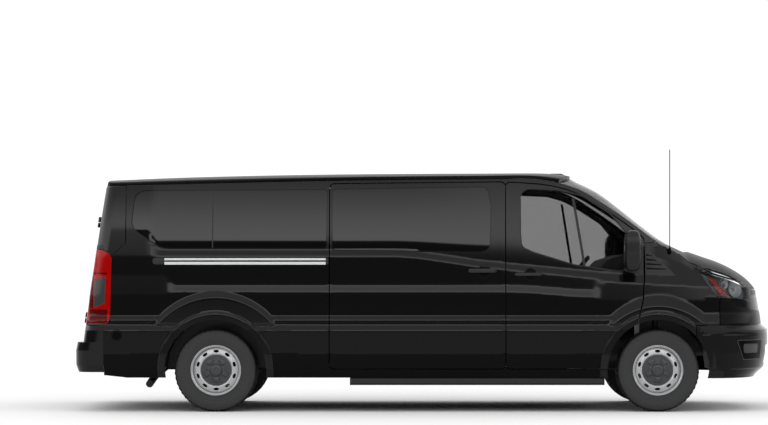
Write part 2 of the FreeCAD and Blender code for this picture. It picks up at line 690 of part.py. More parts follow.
def fender_section(x, depth):
    """Points up a fender at a station, from the sill over the crest to the hood's edge."""
    points = [V(x, depth - w, z) for z, w in side_levels(x)[:-1]]
    edge_half = hood_side_half(x)
    edge_z = fender_crest(x) if x < hood_rear_side else hood_height(x, edge_half)
    top = points[-1]
    crest_half = edge_half + 0.62 * (-top.y - edge_half + depth) - depth
    points.append(V(x, -crest_half, top.z + 0.6 * (edge_z - top.z) - 0.5 * depth))
    points.append(V(x, 0.6 * depth - edge_half, edge_z - 0.9 * depth))
    return points


def fender_slab(outer, inner):
    wires = []
    for x in steps(fender_rear, nose_start, 5):
        loop = fender_section(x, outer) + fender_section(x, inner)[::-1]
        wires.append(Part.makePolygon(loop + [loop[0]]))
    return Part.makeLoft(wires, True, False)


# How far ahead of the front axle the nose reaches at the height of each of the fender's creases
NOSE_REACH = (903, 985, d.front_overhang, d.front_overhang, 964, 961, 958, 930, 910, 903, 899, 892, 885, 880)
nose_section = fender_section(nose_start, 0)
nose_profile = [(point.z, -point.y, reach) for point, reach in zip(nose_section, NOSE_REACH)]
nose_profile.append((nose_profile[-1][0] + 40, nose_profile[-1][1] - 60, NOSE_REACH[-1]))
NOSE_ANGLES = (0, 13, 26, 39, 53, 66, 78, 90)


def plan_share(angle):
    """How far round the nose's plan curve an angle comes: (share of reach, share of half width)."""
    turn = math.radians(angle)
    power = 2 / d.nose_exponent
    return math.sin(turn) ** power, (math.cos(turn) ** power if angle < 90 else 0.0)


def nose_point(z, half, reach, angle):
    ahead, across = plan_share(angle)
    return V(nose_start + (front(reach) - nose_start) * ahead, -half * across, z)


def nose_wire(z, half, reach, outer, inner):
    curves = []
    for depth in (outer, inner):
        points = [nose_point(z, half - depth, reach - depth, angle) for angle in NOSE_ANGLES]
        curve = Part.BSplineCurve()
        curve.interpolate(points)
        curves.append((curve.toShape(), points[0], points[-1]))
    (out, out_start, out_end), (back, back_start, back_end) = curves
    return Part.Wire([out, Part.LineSegment(out_end, back_end).toShape(), back,
                      Part.LineSegment(back_start, out_start).toShape()])


def nose_slab(outer, inner):
    return Part.makeLoft([nose_wire(*level, outer, inner) for level in nose_profile], True, True)


def nose_edge(angle):
    """Where the nose meets the hood's surface at an angle round the plan curve."""
    low, high = nose_profile[4][0], nose_profile[-1][0]
    for _ in range(40):
        middle = (low + high) / 2
        below = max(i for i in range(len(nose_profile) - 1) if nose_profile[i][0] <= middle)
        (z0, w0, r0), (z1, w1, r1) = nose_profile[below], nose_profile[below + 1]
        share = (middle - z0) / (z1 - z0)
        point = nose_point(middle, w0 + (w1 - w0) * share, r0 + (r1 - r0) * share, angle)
        if hood_height(point.x, point.y) > middle:
            low = middle
        else:
            high = middle
    return point


# Hood panel, cut so that it lifts clear of the nose as it turns about its hinge
hood_hinge = V(front(160), 0, 1404)
hood_tip = nose_edge(90)
lift_slope = (hood_hinge.z - hood_tip.z) / (hood_tip.x - hood_hinge.x)


def hood_plan(x, y, z, radius):
    """Where a point of the hood's edge falls on the level of its tip, seen along the way it lifts."""
    return (x - (z - hood_tip.z) * lift_slope, y, radius)


half_plan = []
for share in steps(0, 1, 5):
    y = -share * hood_side_half(hood_rear_side)
    x = hood_rear_centre - (hood_rear_centre - hood_rear_side) * share ** 2
    half_plan.append(hood_plan(x, y, hood_height(x, y), 30 if share == 1 else 400))
for x in steps(hood_rear_side + 30, nose_start, 4):
    half_plan.append(hood_plan(x, -hood_side_half(x), hood_height(x, hood_side_half(x)), 300))
for angle in NOSE_ANGLES[1:]:
    half_plan.append(hood_plan(*nose_edge(angle), 300))
hood_outline = half_plan + [(x, -y, radius) for x, y, radius in reversed(half_plan[1:-1])]
lift = V(lift_slope, 0, 1)


def hood_cutter(grow):
    face = Part.Face(outline("XY", hood_outline)).makeOffset2D(grow)
    return face.translated(lift * -300 + V(0, 0, hood_tip.z)).extrude(lift * 900)


hood = biggest(hood_slab(0, d.hood_wall).common(hood_cutter(-half_gap)))
under_hood = hood_slab(-500, d.lamp_depth + d.hood_wall).common(hood_cutter(half_gap))
over_hood = hood_slab(-500, 0).fuse(under_hood)
front_blocks = block(fender_rear, front(540), *SIDE_CUT, 0, 1300)
front_dress = [shape.common(front_blocks) for shape in front_dress]


def front_shell(outer, inner):
    """Right-hand half of the nose, from the door's front edge to the centreline."""
    return fender_slab(outer, inner).fuse(nose_slab(outer, inner)).cut(over_hood)


front_wall = front_shell(0, d.fender_wall).fuse(front_dress).cut(arch_cut(front_axle, d.arch_radius))

headlamp_outline = [
    (front(290), 1238, 30), (front(425), 1222, 100), (front(559), 1178, 200), (front(662), 1134, 200),
    (front(727), 1097, 100), (front(812), 1066, 20), (front(806), 932, 20), (front(728), 954, 80),
    (front(491), 976, 40), (front(415), 1081, 100), (front(347), 1179, 100)]
HEADLAMP_INNER_Y = -560
bumper_block = block(front(323), front(1100), -1200, 0, 0, d.cladding_top_z - d.fit_gap)
fender_block = block(fender_rear - 1, front(d.fascia_seam) - half_gap, -1200, 0, d.cladding_top_z, 1600)
fender_leg = block(fender_rear - 1, front(323) - d.shut_gap, -1200, 0, d.door_bottom_z, 1600)
lamp_prism = prism("XZ", headlamp_outline, -1200, HEADLAMP_INNER_Y)
lamp_opening = prism("XZ", headlamp_outline, -1200, HEADLAMP_INNER_Y + d.fit_gap, 0, d.fit_gap)
headlamp = biggest(front_shell(0, d.lamp_depth).common(lamp_prism))
fender = biggest(front_wall.common(fender_block.fuse(fender_leg)).cut(lamp_opening))
fascia_block = block(front(d.fascia_seam) + half_gap, front(1100), -1200, 0, d.cladding_top_z, 1600)
grille_outline = [
    (-d.grille_half, d.grille_top_z, 30), (-d.grille_half + 70, d.grille_low_z, 30),
    (d.grille_half - 70, d.grille_low_z, 30), (d.grille_half, d.grille_top_z, 30)]
nose_span = (front(600), front(1100))
fascia_half = front_wall.common(fascia_block).cut(lamp_opening)
fascia = joined(fascia_half, mirrored(fascia_half))
front_panel = biggest(fascia.cut(prism("YZ", grille_outline, *nose_span)))
front_bumper_half = front_wall.common(bumper_block)
intake_outline = [(-620, 560, 40), (-560, 400, 40), (560, 400, 40), (620, 560, 40)]
front_bumper = joined(front_bumper_half, mirrored(front_bumper_half))
front_bumper = biggest(front_bumper.cut(prism("YZ", intake_outline, *nose_span)))

# Grille: bars between the nose's skin and its back, cut from the same curved shell
grille_shell = front_shell(4, 16)
grille_shell = joined(grille_shell, mirrored(grille_shell))
grille_shell = grille_shell.common(prism("YZ", grille_outline, *nose_span, 0, -d.fit_gap))
slot_pitch = (d.grille_top_z - d.grille_low_z) / (d.slat_count + 1)
slots = []
for i in range(int(d.slat_count) + 1):
    middle = d.grille_low_z + slot_pitch * (i + 0.5)
    half = d.grille_half - 85 + 40 * (i + 0.5) / d.slat_count
    for sign in (-1, 1):
        slots.append(block(nose_span[0], nose_span[1], *sorted((sign * 14, sign * (half - 30))),
                           middle - d.slat_gap / 2, middle + d.slat_gap / 2))
grille = biggest(grille_shell.cut(slots))

# Cowl between the windscreen and the hood
def cowl_wire(side, centre):
    return Part.Wire([Part.Arc(side, centre, V(side.x, -side.y, side.z)).toShape()])


screen_foot = V(front(-11), 0, gutter(front(-11)))
screen_foot.y = d.wall_depth + d.fit_gap - side_half_width(screen_foot.x, screen_foot.z)
beside_glass = V(d.fit_gap, 0, 0)
screen_bottom = V(screen_line[-1][0], 0, screen_line[-1][1])
cowl_rear = cowl_wire(screen_foot + beside_glass, screen_bottom + beside_glass)
cowl_corner = V(hood_rear_side - 8, 26 - hood_side_half(hood_rear_side), fender_crest(hood_rear_side) - 14)
cowl_middle = V(hood_rear_centre - 8, 0, hood_height(hood_rear_centre, 0) - 10)
cowl_front = cowl_wire(cowl_corner, cowl_middle)
cowl_panel = Part.makeLoft([cowl_rear, cowl_front], False, True).Faces[0].extrude(V(-4, 0, -10))


# Floor, bulkhead and wheel housings
floor_low = d.floor_z - d.floor_thickness
floor_half = -inner_face(front(-600), floor_low) - d.fit_gap
bulkhead_foot, bulkhead_top_x = front(-400), front(-180)
wheelhouse_gap = d.liner_radius + d.liner_wall + d.fit_gap


def wheelhouse_cut(axle_x, inner):
    right = rod(wheelhouse_gap, V(axle_x, -1100, d.tyre_radius), V(axle_x, -inner, d.tyre_radius))
    return both_sides(right)


door_clearance = 8
sill_half, step_x = floor_half - door_clearance, door_line - door_clearance
floor_plan = [
    (rear(-1040), -d.rear_door_half - 40, 60), (side_rear, -floor_half, 30), (step_x, -floor_half),
    (step_x, -sill_half), (bulkhead_foot, -sill_half), (bulkhead_foot, sill_half), (step_x, sill_half),
    (step_x, floor_half),
    (side_rear, floor_half, 30), (rear(-1040), d.rear_door_half + 40, 60)]
floor_pan = prism("XY", floor_plan, floor_low, d.floor_z)
floor_pan = biggest(floor_pan.cut(wheelhouse_cut(rear_axle, d.rear_liner_inner - d.liner_wall - d.fit_gap)))
sheet_wall = 12
bulkhead_points = [
    (bulkhead_foot + d.fit_gap, floor_low), (bulkhead_foot + sheet_wall, floor_low),
    (bulkhead_foot + sheet_wall, 830),
    (bulkhead_top_x + sheet_wall, 830), (bulkhead_top_x + sheet_wall, 1330), (bulkhead_top_x, 1330),
    (bulkhead_top_x, 830 + sheet_wall), (bulkhead_foot + d.fit_gap, 830 + sheet_wall)]
bulkhead_half = -inner_face(bulkhead_top_x, 1330) - door_clearance
bulkhead = prism("XZ", bulkhead_points, -bulkhead_half, bulkhead_half)
bulkhead = biggest(bulkhead.cut(wheelhouse_cut(front_axle, d.front_liner_inner)))


def housing(axle_x, inner, outer_y, closed):
    """Half-round inner arch over the right-hand wheel, with an inner wall where it is closed."""
    start, end = V(axle_x, -outer_y, d.tyre_radius), V(axle_x, -inner, d.tyre_radius)
    beyond = V(0, 1, 0)
    shell = rod(d.liner_radius + d.liner_wall, start, end)
    shell = shell.cut(rod(d.liner_radius, start - beyond, end + beyond))
    if closed:
        wall = rod(d.liner_radius + d.liner_wall, end, end + V(0, d.liner_wall, 0))
        wall = wall.cut(rod(2 * d.axle_tube_radius, end - beyond, end + beyond * 2 * d.liner_wall))
        shell = shell.fuse(wall)
    upper = block(axle_x - 600, axle_x + 600, -1100, 0, d.tyre_radius + 10, 1200)
    return biggest(shell.common(upper))


liner_outer = -inner_face(front_axle, d.tyre_radius) - 6
rear_liner_outer = -inner_face(rear_axle, d.tyre_radius + 10) - d.fit_gap
front_liner = housing(front_axle, d.front_liner_inner, liner_outer, False)
rear_liner = housing(rear_axle, d.rear_liner_inner, rear_liner_outer, True)

# Engine with its gearbox, and the shaft to the rear axle
engine_low = 455
engine_rear = front(-100)
engine = block(engine_rear, engine_rear + d.engine_length, -d.engine_width / 2, d.engine_width / 2,
               engine_low, engine_low + d.engine_height)
gearbox_z = floor_low - d.gearbox_radius - 12
gearbox_rear = front(-720)
gearbox = rod(d.gearbox_radius, V(gearbox_rear, 0, gearbox_z), V(engine_rear + 1, 0, gearbox_z))
engine_block = biggest(engine.fuse(gearbox))

# Bumpers behind, step board, door track
step_top = d.sill_z - d.fit_gap
step_outer = side_half_width(door_line, d.sill_z) + 22
step_rear, step_front = slide_rear_line + 175, front(-456)
step_board = prism("YZ", [
    (-step_outer, step_top - 45, 12), (-step_outer, step_top - 12, 10), (-step_outer + 14, step_top, 8),
    (-step_outer + d.step_depth, step_top), (-step_outer + d.step_depth, step_top - 22),
    (-step_outer + 40, step_top - d.step_height, 12), (-step_outer + 12, step_top - d.step_height, 12)],
    step_rear, step_front)
rail_outer = d.rail_spacing / 2 + d.rail_width / 2
rail_low = floor_low - d.fit_gap - d.rail_height
for x in steps(step_rear + 150, step_front - 150, 4):
    step_board = step_board.fuse(prism("YZ", [
        (-step_outer + 60, step_top - 26), (-step_outer + d.step_depth, step_top - 2),
        (-rail_outer - d.fit_gap, rail_low + 40), (-rail_outer - d.fit_gap, rail_low),
        (-step_outer + d.step_depth - 20, step_top - 30)], x - 20, x + 20))
step_board = biggest(step_board)

track_z = 1275
track_rear, track_front = rear(-434), slide_rear_line - 30
track_low, track_high = track_z - d.track_rail_height / 2, track_z + d.track_rail_height / 2
track_y, track_top_y = [-side_half_width(rear_axle, z) - d.fit_gap for z in (track_low, track_high)]
door_track = prism("YZ", [
    (track_y, track_low), (track_y - d.track_rail_proud, track_low + 2, 3),
    (track_y - d.track_rail_proud, track_low + 22, 3), (track_y - 3, track_low + 25),
    (track_y - 3, track_high - 19),
    (track_y - d.track_rail_proud, track_high - 16, 3), (track_y - d.track_rail_proud, track_high - 2, 3),
    (track_top_y, track_high)], track_rear, track_front)


# Rear bumper: a stepped shell round the corners, with its top tread
def bumper_wire(z, reach, half, wall):
    """Outline from above of the rear bumper at a height."""
    back = rear(-reach) + wall
    side = half - wall
    turn = 150 - wall
    front_end = rear(-d.bumper_seam_setback - 2) + 3 * wall
    diagonal = turn * (1 - math.sqrt(0.5))
    right = (V(back + turn, -side, z), V(back + diagonal, diagonal - side, z), V(back, turn - side, z))
    left = [V(point.x, -point.y, z) for point in reversed(right)]
    return Part.Wire([
        Part.LineSegment(V(front_end, -side, z), right[0]).toShape(), Part.Arc(*right).toShape(),
        Part.Arc(right[2], V(back - bumper_bow, 0, z), left[0]).toShape(), Part.Arc(*left).toShape(),
        Part.LineSegment(left[2], V(front_end, side, z)).toShape(),
        Part.LineSegment(V(front_end, side, z), V(front_end, -side, z)).toShape()])


rear_overhang = d.body_length / 2 + rear_axle
bumper_bow = 12
lower_reach = rear_overhang - bumper_bow
lower_levels = [
    (d.rear_bumper_low_z, lower_reach - 20, half_width - 30), (400, lower_reach, half_width - 14),
    (520, lower_reach, half_width - 6), (d.rear_bumper_step_z, lower_reach - 14, half_width - 4)]
upper_levels = [
    (d.rear_bumper_step_z, 0, half_width - 4), (690, 0, half_width - 2),
    (d.cladding_top_z, 0, half_width - 17)]


def bumper_solid(levels, wall):
    return Part.makeLoft([bumper_wire(z, reach, half, wall) for z, reach, half in levels], True, True)


lower_bumper = bumper_solid(lower_levels, 0)
hollow = [(z - 1 if i == 0 else z, reach, half) for i, (z, reach, half) in enumerate(lower_levels)]
hollow[-1] = (d.rear_bumper_step_z - 20,) + hollow[-1][1:]
lower_bumper = lower_bumper.cut(bumper_solid(hollow, d.rear_bumper_wall))
upper_reach = [(z, rear_axle - rear_face(z) + 4, half) for z, _, half in upper_levels]
foot_level, mid_level, head_level = upper_reach
upper_hollow = [(foot_level[0] - 1,) + foot_level[1:], mid_level, (head_level[0] + 1,) + head_level[1:]]
upper_bumper = bumper_solid(upper_reach, 0).cut(bumper_solid(upper_hollow, d.wall_depth))
upper_bumper = upper_bumper.cut(block(
    rear(-1400), rear(-400), -door_edge, door_edge, d.rear_door_bottom_z - d.shut_gap, 900))
rear_bumper = biggest(lower_bumper.fuse(upper_bumper).cut(both_sides(lamp_hole)))

# Frame rails with their cross members and jacking pads, up to the backs of the bumpers
bumper_back_half = half_width - d.cladding_crease_inset - d.fender_wall
rail_share = (1 - (rail_outer / bumper_back_half) ** d.nose_exponent) ** (1 / d.nose_exponent)
rail_front = nose_start + (front(d.front_overhang - d.fender_wall) - nose_start) * rail_share - d.fit_gap
rail_rear = rear(-d.bumper_seam_setback - 2) + d.fit_gap
frame_pieces = []
for side, sign in (("right", "-"), ("left", "")):
    rail = bound("Part::Box", f"rail_{side}", Width="dimensions.rail_width", Height="dimensions.rail_height",
                 Placement_Base_y=f"{sign}dimensions.rail_spacing / 2 - dimensions.rail_width / 2",
                 Placement_Base_z="dimensions.floor_z - dimensions.floor_thickness - dimensions.fit_gap"
                                  " - dimensions.rail_height")
    rail.Length = rail_front - rail_rear
    rail.Placement.Base.x = rail_rear
    frame_pieces.append(rail)
    for end, x in (("front", front(-700)), ("rear", rear(900))):
        pad = bound("Part::Cylinder", f"jack_pad_{end}_{side}", Radius="dimensions.jack_pad_radius",
                    Height="dimensions.jack_pad_depth * 2",
                    Placement_Base_y=f"{sign}dimensions.rail_spacing / 2",
                    Placement_Base_z="dimensions.floor_z - dimensions.floor_thickness - dimensions.fit_gap"
                                     " - dimensions.rail_height - dimensions.jack_pad_depth")
        pad.Placement.Base.x = x
        frame_pieces.append(pad)
for number, x in enumerate((front(-860), front(-1400), front(-2350), rear(500), rear(-600)), 1):
    member = bound("Part::Box", f"cross_member_{number}", Length="dimensions.cross_width",
                   Width="dimensions.rail_spacing",
                   Height="dimensions.rail_height * 0.7", Placement_Base_y="-dimensions.rail_spacing / 2",
                   Placement_Base_z="dimensions.floor_z - dimensions.floor_thickness - dimensions.fit_gap"
                                    " - dimensions.rail_height * 0.7")
    member.Placement.Base.x = x
    frame_pieces.append(member)
member_low = floor_low - d.fit_gap - 0.7 * d.rail_height
chassis_frame = doc.addObject("Part::MultiFuse", "chassis_rails")
chassis_frame.Shapes = frame_pieces
chassis_frame.Refine = True
chassis_frame.Label = "chassis_rails"
nodes.append(chassis_frame)

# Front suspension: a cross member on posts, lower arms under the knuckles, and struts up to the housings
axle_z = d.tyre_radius
arm_top = axle_z - d.knuckle_half_height - d.fit_gap
arm_low = arm_top - d.arm_thickness
subframe = block(front(-110), front(110), -500, 500, arm_low, 290)
for sign in (-1, 1):
    y = sign * d.rail_spacing / 2
    subframe = subframe.fuse(block(front(-45), front(45), y - 30, y + 30, 280, rail_low - d.fit_gap))
    arm_end = sign * (d.kingpin_y + 36)
    arm = prism("XY", [(front(-110), sign * 490), (front(110), sign * 490), (front(42), arm_end, 40),
                       (front(-42), arm_end, 40)], arm_low, arm_top)
    subframe = subframe.fuse(arm)
subframe = biggest(subframe)
strut_radius, strut_y = 27, d.kingpin_y - 90
strut_foot = axle_z + d.knuckle_half_height + d.fit_gap
strut_head = axle_z + math.sqrt(d.liner_radius ** 2 - strut_radius ** 2) - d.fit_gap
strut = prism("XY", [
    (front(-30), -strut_y + 30, 20), (front(-30), -d.kingpin_y - 36, 28), (front(30), -d.kingpin_y - 36, 28),
    (front(30), -strut_y + 30, 20)], strut_foot, strut_foot + 20)
strut_tube = rod(strut_radius, V(front_axle, -strut_y, strut_foot + 5), V(front_axle, -strut_y, strut_head))
strut = biggest(strut.fuse(strut_tube))
hub_face = wheel_y + 14 - d.fit_gap
knuckle = rod(d.knuckle_radius, V(front_axle, -d.kingpin_y, axle_z - d.knuckle_half_height),
              V(front_axle, -d.kingpin_y, axle_z + d.knuckle_half_height))
knuckle = biggest(knuckle.fuse([
    rod(30, V(front_axle, -d.kingpin_y, axle_z), V(front_axle, -hub_face, axle_z)),
    rod(d.brake_radius, V(front_axle, -wheel_y + 40, axle_z), V(front_axle, -wheel_y + 16, axle_z))]))

# Rear axle on leaf springs
axle = rod(d.axle_tube_radius, V(rear_axle, -hub_face, axle_z), V(rear_axle, hub_face, axle_z))
pinion_front = rear(250)
axle_centre = V(rear_axle, 0, axle_z)
axle = axle.fuse([Part.makeSphere(150, axle_centre), rod(62, axle_centre, V(pinion_front, 0, axle_z))])
for sign in (-1, 1):
    drum_inner, drum_outer = [V(rear_axle, sign * (wheel_y - inset), axle_z) for inset in (40, 12)]
    axle = axle.fuse(rod(d.brake_radius, drum_inner, drum_outer))
axle = biggest(axle)
spring_seat = axle_z + d.axle_tube_radius + d.fit_gap
spring_half, spring_rise = 650, 72
leaf_ends = [V(rear(sign * spring_half), 0, spring_seat + spring_rise) for sign in (-1, 1)]
up = V(0, 0, d.spring_thickness)
leaf = Part.Face(Part.Wire([
    Part.Arc(leaf_ends[0], V(rear_axle, 0, spring_seat), leaf_ends[1]).toShape(),
    Part.LineSegment(leaf_ends[1], leaf_ends[1] + up).toShape(),
    Part.Arc(leaf_ends[1] + up, V(rear_axle, 0, spring_seat) + up, leaf_ends[0] + up).toShape(),
    Part.LineSegment(leaf_ends[0] + up, leaf_ends[0]).toShape()]))
spring_outer = d.spring_y + d.spring_width / 2
leaf = leaf.translated(V(0, -spring_outer, 0)).extrude(V(0, d.spring_width, 0))
hanger_y = rail_outer + d.fit_gap
for sign in (-1, 1):
    x = rear(sign * (spring_half + 10))
    leaf = leaf.fuse(block(x - 35, x + 35, -spring_outer, -hanger_y,
                           spring_seat + spring_rise - 12, floor_low - d.fit_gap))
leaf_spring = biggest(leaf)
shaft_radius = 38
drive_shaft = rod(shaft_radius, V(gearbox_rear + 40, 0, gearbox_z), V(pinion_front - 40, 0, axle_z))
drive_shaft = drive_shaft.common(block(pinion_front + d.fit_gap, gearbox_rear - d.fit_gap, -100, 100, 0, 900))


def bent_pipe(points, radius, bend):
    """Round pipe along straight runs joined by arcs."""
    edges = []
    start = points[0]
    for i in range(1, len(points) - 1):
        here = points[i]
        before, after = points[i - 1] - here, points[i + 1] - here
        half = before.getAngle(after) / 2
        reach = bend / math.tan(half)
        before.normalize()
        after.normalize()
        inward = before + after
        inward.normalize()
        entry, leave = here + before * reach, here + after * reach
        middle = here + inward * (reach / math.cos(half) - bend)
        edges += [Part.LineSegment(start, entry).toShape(), Part.Arc(entry, middle, leave).toShape()]
        start = leave
    edges.append(Part.LineSegment(start, points[-1]).toShape())
    circle = Part.Wire([Part.Circle(points[0], points[1] - points[0], radius).toShape()])
    return Part.Wire(edges).makePipeShell([circle], True, True)


exhaust_y, exhaust_z = -0.33 * half_width, 400
muffler_radius = 88
exhaust = bent_pipe([
    V(front(-500), exhaust_y, exhaust_z), V(rear(800), exhaust_y, exhaust_z), V(rear(420), exhaust_y, 452),
    V(rear(-380), exhaust_y, 452), V(rear(-560), -500, 290), V(rear(-567), -905, 235)], d.exhaust_radius, 110)
muffler_ends = [V(front(-setback), exhaust_y, exhaust_z) for setback in (2050, 2750)]
exhaust = exhaust.fuse(rod(muffler_radius, *muffler_ends))
for x in (front(-1400), front(-2350), rear(500)):
    middle = x + d.cross_width / 2
    exhaust = exhaust.fuse(block(middle - 12, middle + 12, exhaust_y - 15, exhaust_y + 15,
                                 exhaust_z, member_low - d.fit_gap))
exhaust = biggest(exhaust)
fuel_tank = prism("YZ", [
    (rail_outer + 15, 350, 60), (880, 350, 60), (880, floor_low - d.fit_gap, 30),
    (rail_outer + 15, floor_low - d.fit_gap, 30)], front(-1750), front(-750))


# Wheels, turned about their axles
def origin_feature(body, role):
    return next(feature for feature in body.Origin.OriginFeatures if feature.Role == role)


def sketch_on(body, name, plane):
    sketch = body.newObject("Sketcher::SketchObject", name)
    sketch.AttachmentSupport = [(origin_feature(body, plane), "")]
    sketch.MapMode = "FlatFace"
    return sketch


def profile_values(profile):
    return [tuple(float(sheet.evalExpression(size)) for size in point) for point in profile]


def turned(name, profile):
    """A body turned about its own Y axis from a closed profile of (radius, offset) expressions."""
    body = doc.addObject("PartDesign::Body", name)
    sketch = sketch_on(body, f"{name}_profile", "XY_Plane")
    values = profile_values(profile)
    for i, (radius, offset) in enumerate(values):
        after = values[(i + 1) % len(values)]
        sketch.addGeometry(Part.LineSegment(V(radius, offset, 0), V(*after, 0)), False)
    for i, (radius, offset) in enumerate(profile):
        sketch.addConstraint(Sketcher.Constraint("Coincident", (i - 1) % len(profile), 2, i, 1))
        if radius == "0":
            sketch.addConstraint(Sketcher.Constraint("PointOnObject", i, 1, -2))
        else:
            across = sketch.addConstraint(Sketcher.Constraint("DistanceX", -1, 1, i, 1, values[i][0]))
            sketch.setExpression(f"Constraints[{across}]", radius)
        along = sketch.addConstraint(Sketcher.Constraint("DistanceY", -1, 1, i, 1, values[i][1]))
        sketch.setExpression(f"Constraints[{along}]", offset)
    revolution = body.newObject("PartDesign::Revolution", f"{name}_turning")
    revolution.Profile = sketch
    revolution.ReferenceAxis = (origin_feature(body, "Y_Axis"), [""])
    revolution.Angle = 360
    return body


def flat_sided_ring(profile, count):
    """A ring about its own Y axis with so many flat sides, its corners on the turned profile."""
    turns = [2 * math.pi * i / count for i in range(count)]
    rows = [[V(radius * math.cos(turn), offset, radius * math.sin(turn)) for turn in turns]
            for radius, offset in profile]
    faces = []
    for row, after in zip(rows, rows[1:] + rows[:1]):
        for i in range(count):
            k = (i + 1) % count
            faces.append(Part.Face(Part.makePolygon([row[i], row[k], after[k], after[i], row[i]])))
    return Part.makeSolid(Part.makeShell(faces))


centre = "dimensions.tyre_width / 2"
bead = "dimensions.rim_width / 2"
flange = "dimensions.rim_width / 2 + dimensions.fit_gap"
barrel_out = "dimensions.rim_radius - dimensions.fit_gap"
barrel_in = "dimensions.rim_radius - dimensions.fit_gap - dimensions.rim_wall"
lip = "dimensions.rim_radius + 11"
disc = f"{centre} + dimensions.disc_offset"
TYRE_PROFILE = [
    ("dimensions.rim_radius", f"{centre} - {bead}"), ("dimensions.rim_radius + 13", f"{centre} - {bead}"),
    ("dimensions.rim_radius + 82", "1"),
    ("dimensions.tyre_radius - 17", "11"),
    ("dimensions.tyre_radius", "dimensions.tyre_width / 2 - dimensions.tread_width / 2"),
    ("dimensions.tyre_radius", "dimensions.tyre_width / 2 + dimensions.tread_width / 2"),
    ("dimensions.tyre_radius - 17", "dimensions.tyre_width - 11"),
    ("dimensions.rim_radius + 82", "dimensions.tyre_width - 1"),
    ("dimensions.rim_radius + 13", f"{centre} + {bead}"), ("dimensions.rim_radius", f"{centre} + {bead}")]
RIM_PROFILE = [
    ("0", f"{centre} + 14"), ("dimensions.hub_radius + 23", f"{centre} + 14"),
    ("dimensions.cap_radius - 7", f"{disc} - 16"), ("150", f"{disc} - dimensions.disc_thickness"),
    ("188", f"{disc} - 18"), (barrel_in, f"{disc} - 18"), (barrel_in, f"{centre} - {flange} - 5"),
    (lip, f"{centre} - {flange} - 5"),
    (lip, f"{centre} - ({flange})"), (barrel_out, f"{centre} - ({flange})"),
    (barrel_out, f"{centre} + {flange}"), (lip, f"{centre} + {flange}"),
    (lip, f"{centre} + {flange} + 5"), (barrel_in, f"{centre} + {flange} + 5"),
    (barrel_in, f"{disc} - 9"), ("188", f"{disc} - 9"), ("dimensions.hand_hole_circle", f"{disc} - 1"),
    ("150", disc), ("dimensions.cap_radius + 4", f"{disc} - 5"), ("dimensions.cap_radius", f"{disc} - 8"),
    ("dimensions.cap_radius - 4", f"{disc} + 4"),
    ("dimensions.cap_radius - 37", f"{disc} - 8 + dimensions.cap_depth"),
    ("40", f"{disc} - 3 + dimensions.cap_depth"), ("0", f"{disc} - 3 + dimensions.cap_depth")]
tyre_ring = flat_sided_ring(profile_values(TYRE_PROFILE), int(d.tyre_side_count))
for axle_name, axle_x in (("front", front_axle), ("rear", rear_axle)):
    for side, sign in (("right", -1), ("left", 1)):
        place = FreeCAD.Placement(V(axle_x, sign * (wheel_y - d.tyre_width / 2), axle_z),
                                  FreeCAD.Rotation(V(0, 0, 1), 90 - 90 * sign))
        tyre = add_node(f"tyre_{axle_name}_{side}", tyre_ring)
        tyre.Placement = place
        rim = turned(f"wheel_{axle_name}_{side}", RIM_PROFILE)
        hole = sketch_on(rim, f"hand_hole_{axle_name}_{side}", "XZ_Plane")
        hole.addGeometry(Part.Circle(V(d.hand_hole_circle, 0, 0), V(0, 0, 1), d.hand_hole_radius), False)
        hole.addConstraint(Sketcher.Constraint("PointOnObject", 0, 3, -1))
        out = hole.addConstraint(Sketcher.Constraint("DistanceX", -1, 1, 0, 3, d.hand_hole_circle))
        hole.setExpression(f"Constraints[{out}]", "dimensions.hand_hole_circle")
        size = hole.addConstraint(Sketcher.Constraint("Radius", 0, d.hand_hole_radius))
        hole.setExpression(f"Constraints[{size}]", "dimensions.hand_hole_radius")
        pocket = rim.newObject("PartDesign::Pocket", f"hand_hole_cut_{axle_name}_{side}")
        pocket.Profile = hole
        pocket.Type = "ThroughAll"
        pocket.Midplane = True
        ring = rim.newObject("PartDesign::PolarPattern", f"hand_holes_{axle_name}_{side}")
        ring.Originals = [pocket]
        ring.Axis = (origin_feature(rim, "Y_Axis"), [""])
        ring.Angle = 360
        ring.setExpression("Occurrences", "dimensions.hand_hole_count")
        rim.Tip = ring
        rim.Placement = place
        rim.Label = f"wheel_{axle_name}_{side}"
        nodes.append(rim)

# Seats: a cushion, a leaning back and a head restraint over a pedestal
def seat(front_x, y0, y1, rests):
    """One seat or bench whose cushion ends ahead at front_x."""
    back_x = front_x - d.seat_depth
    lean = 0.27 * d.back_height
    cushion = prism("XZ", [
        (back_x - 40, d.seat_z - d.cushion_height, 40), (front_x, d.seat_z - d.cushion_height + 15, 40),
        (front_x, d.seat_z, 50), (back_x, d.seat_z - 25, 20)], y0, y1)
    back = prism("XZ", [
        (back_x - d.back_thickness, d.seat_z - 110, 40), (back_x + 10, d.seat_z - 70, 30),
        (back_x - lean + 10, d.seat_z + d.back_height, 40),
        (back_x - lean - 80, d.seat_z + d.back_height, 40)], y0, y1)
    pedestal = block(back_x + 40, front_x - 90, y0 + 50, y1 - 50, d.floor_z + d.fit_gap,
                     d.seat_z - d.cushion_height + 30)
    shape = cushion.fuse([back, pedestal])
    width = (y1 - y0) / rests
    head_x, head_z = back_x - lean - 12, d.seat_z + d.back_height
    for i in range(rests):
        middle = y0 + width * (i + 0.5)
        head = prism("XZ", [
            (head_x - 58, head_z + 25, 30), (head_x + 28, head_z + 25, 30), (head_x + 12, head_z + 170, 35),
            (head_x - 66, head_z + 170, 35)], middle - 120, middle + 120)
        stems = block(head_x - 28, head_x - 10, middle - 60, middle + 60, head_z - 15, head_z + 40)
        shape = shape.fuse([head, stems])
    return biggest(shape)


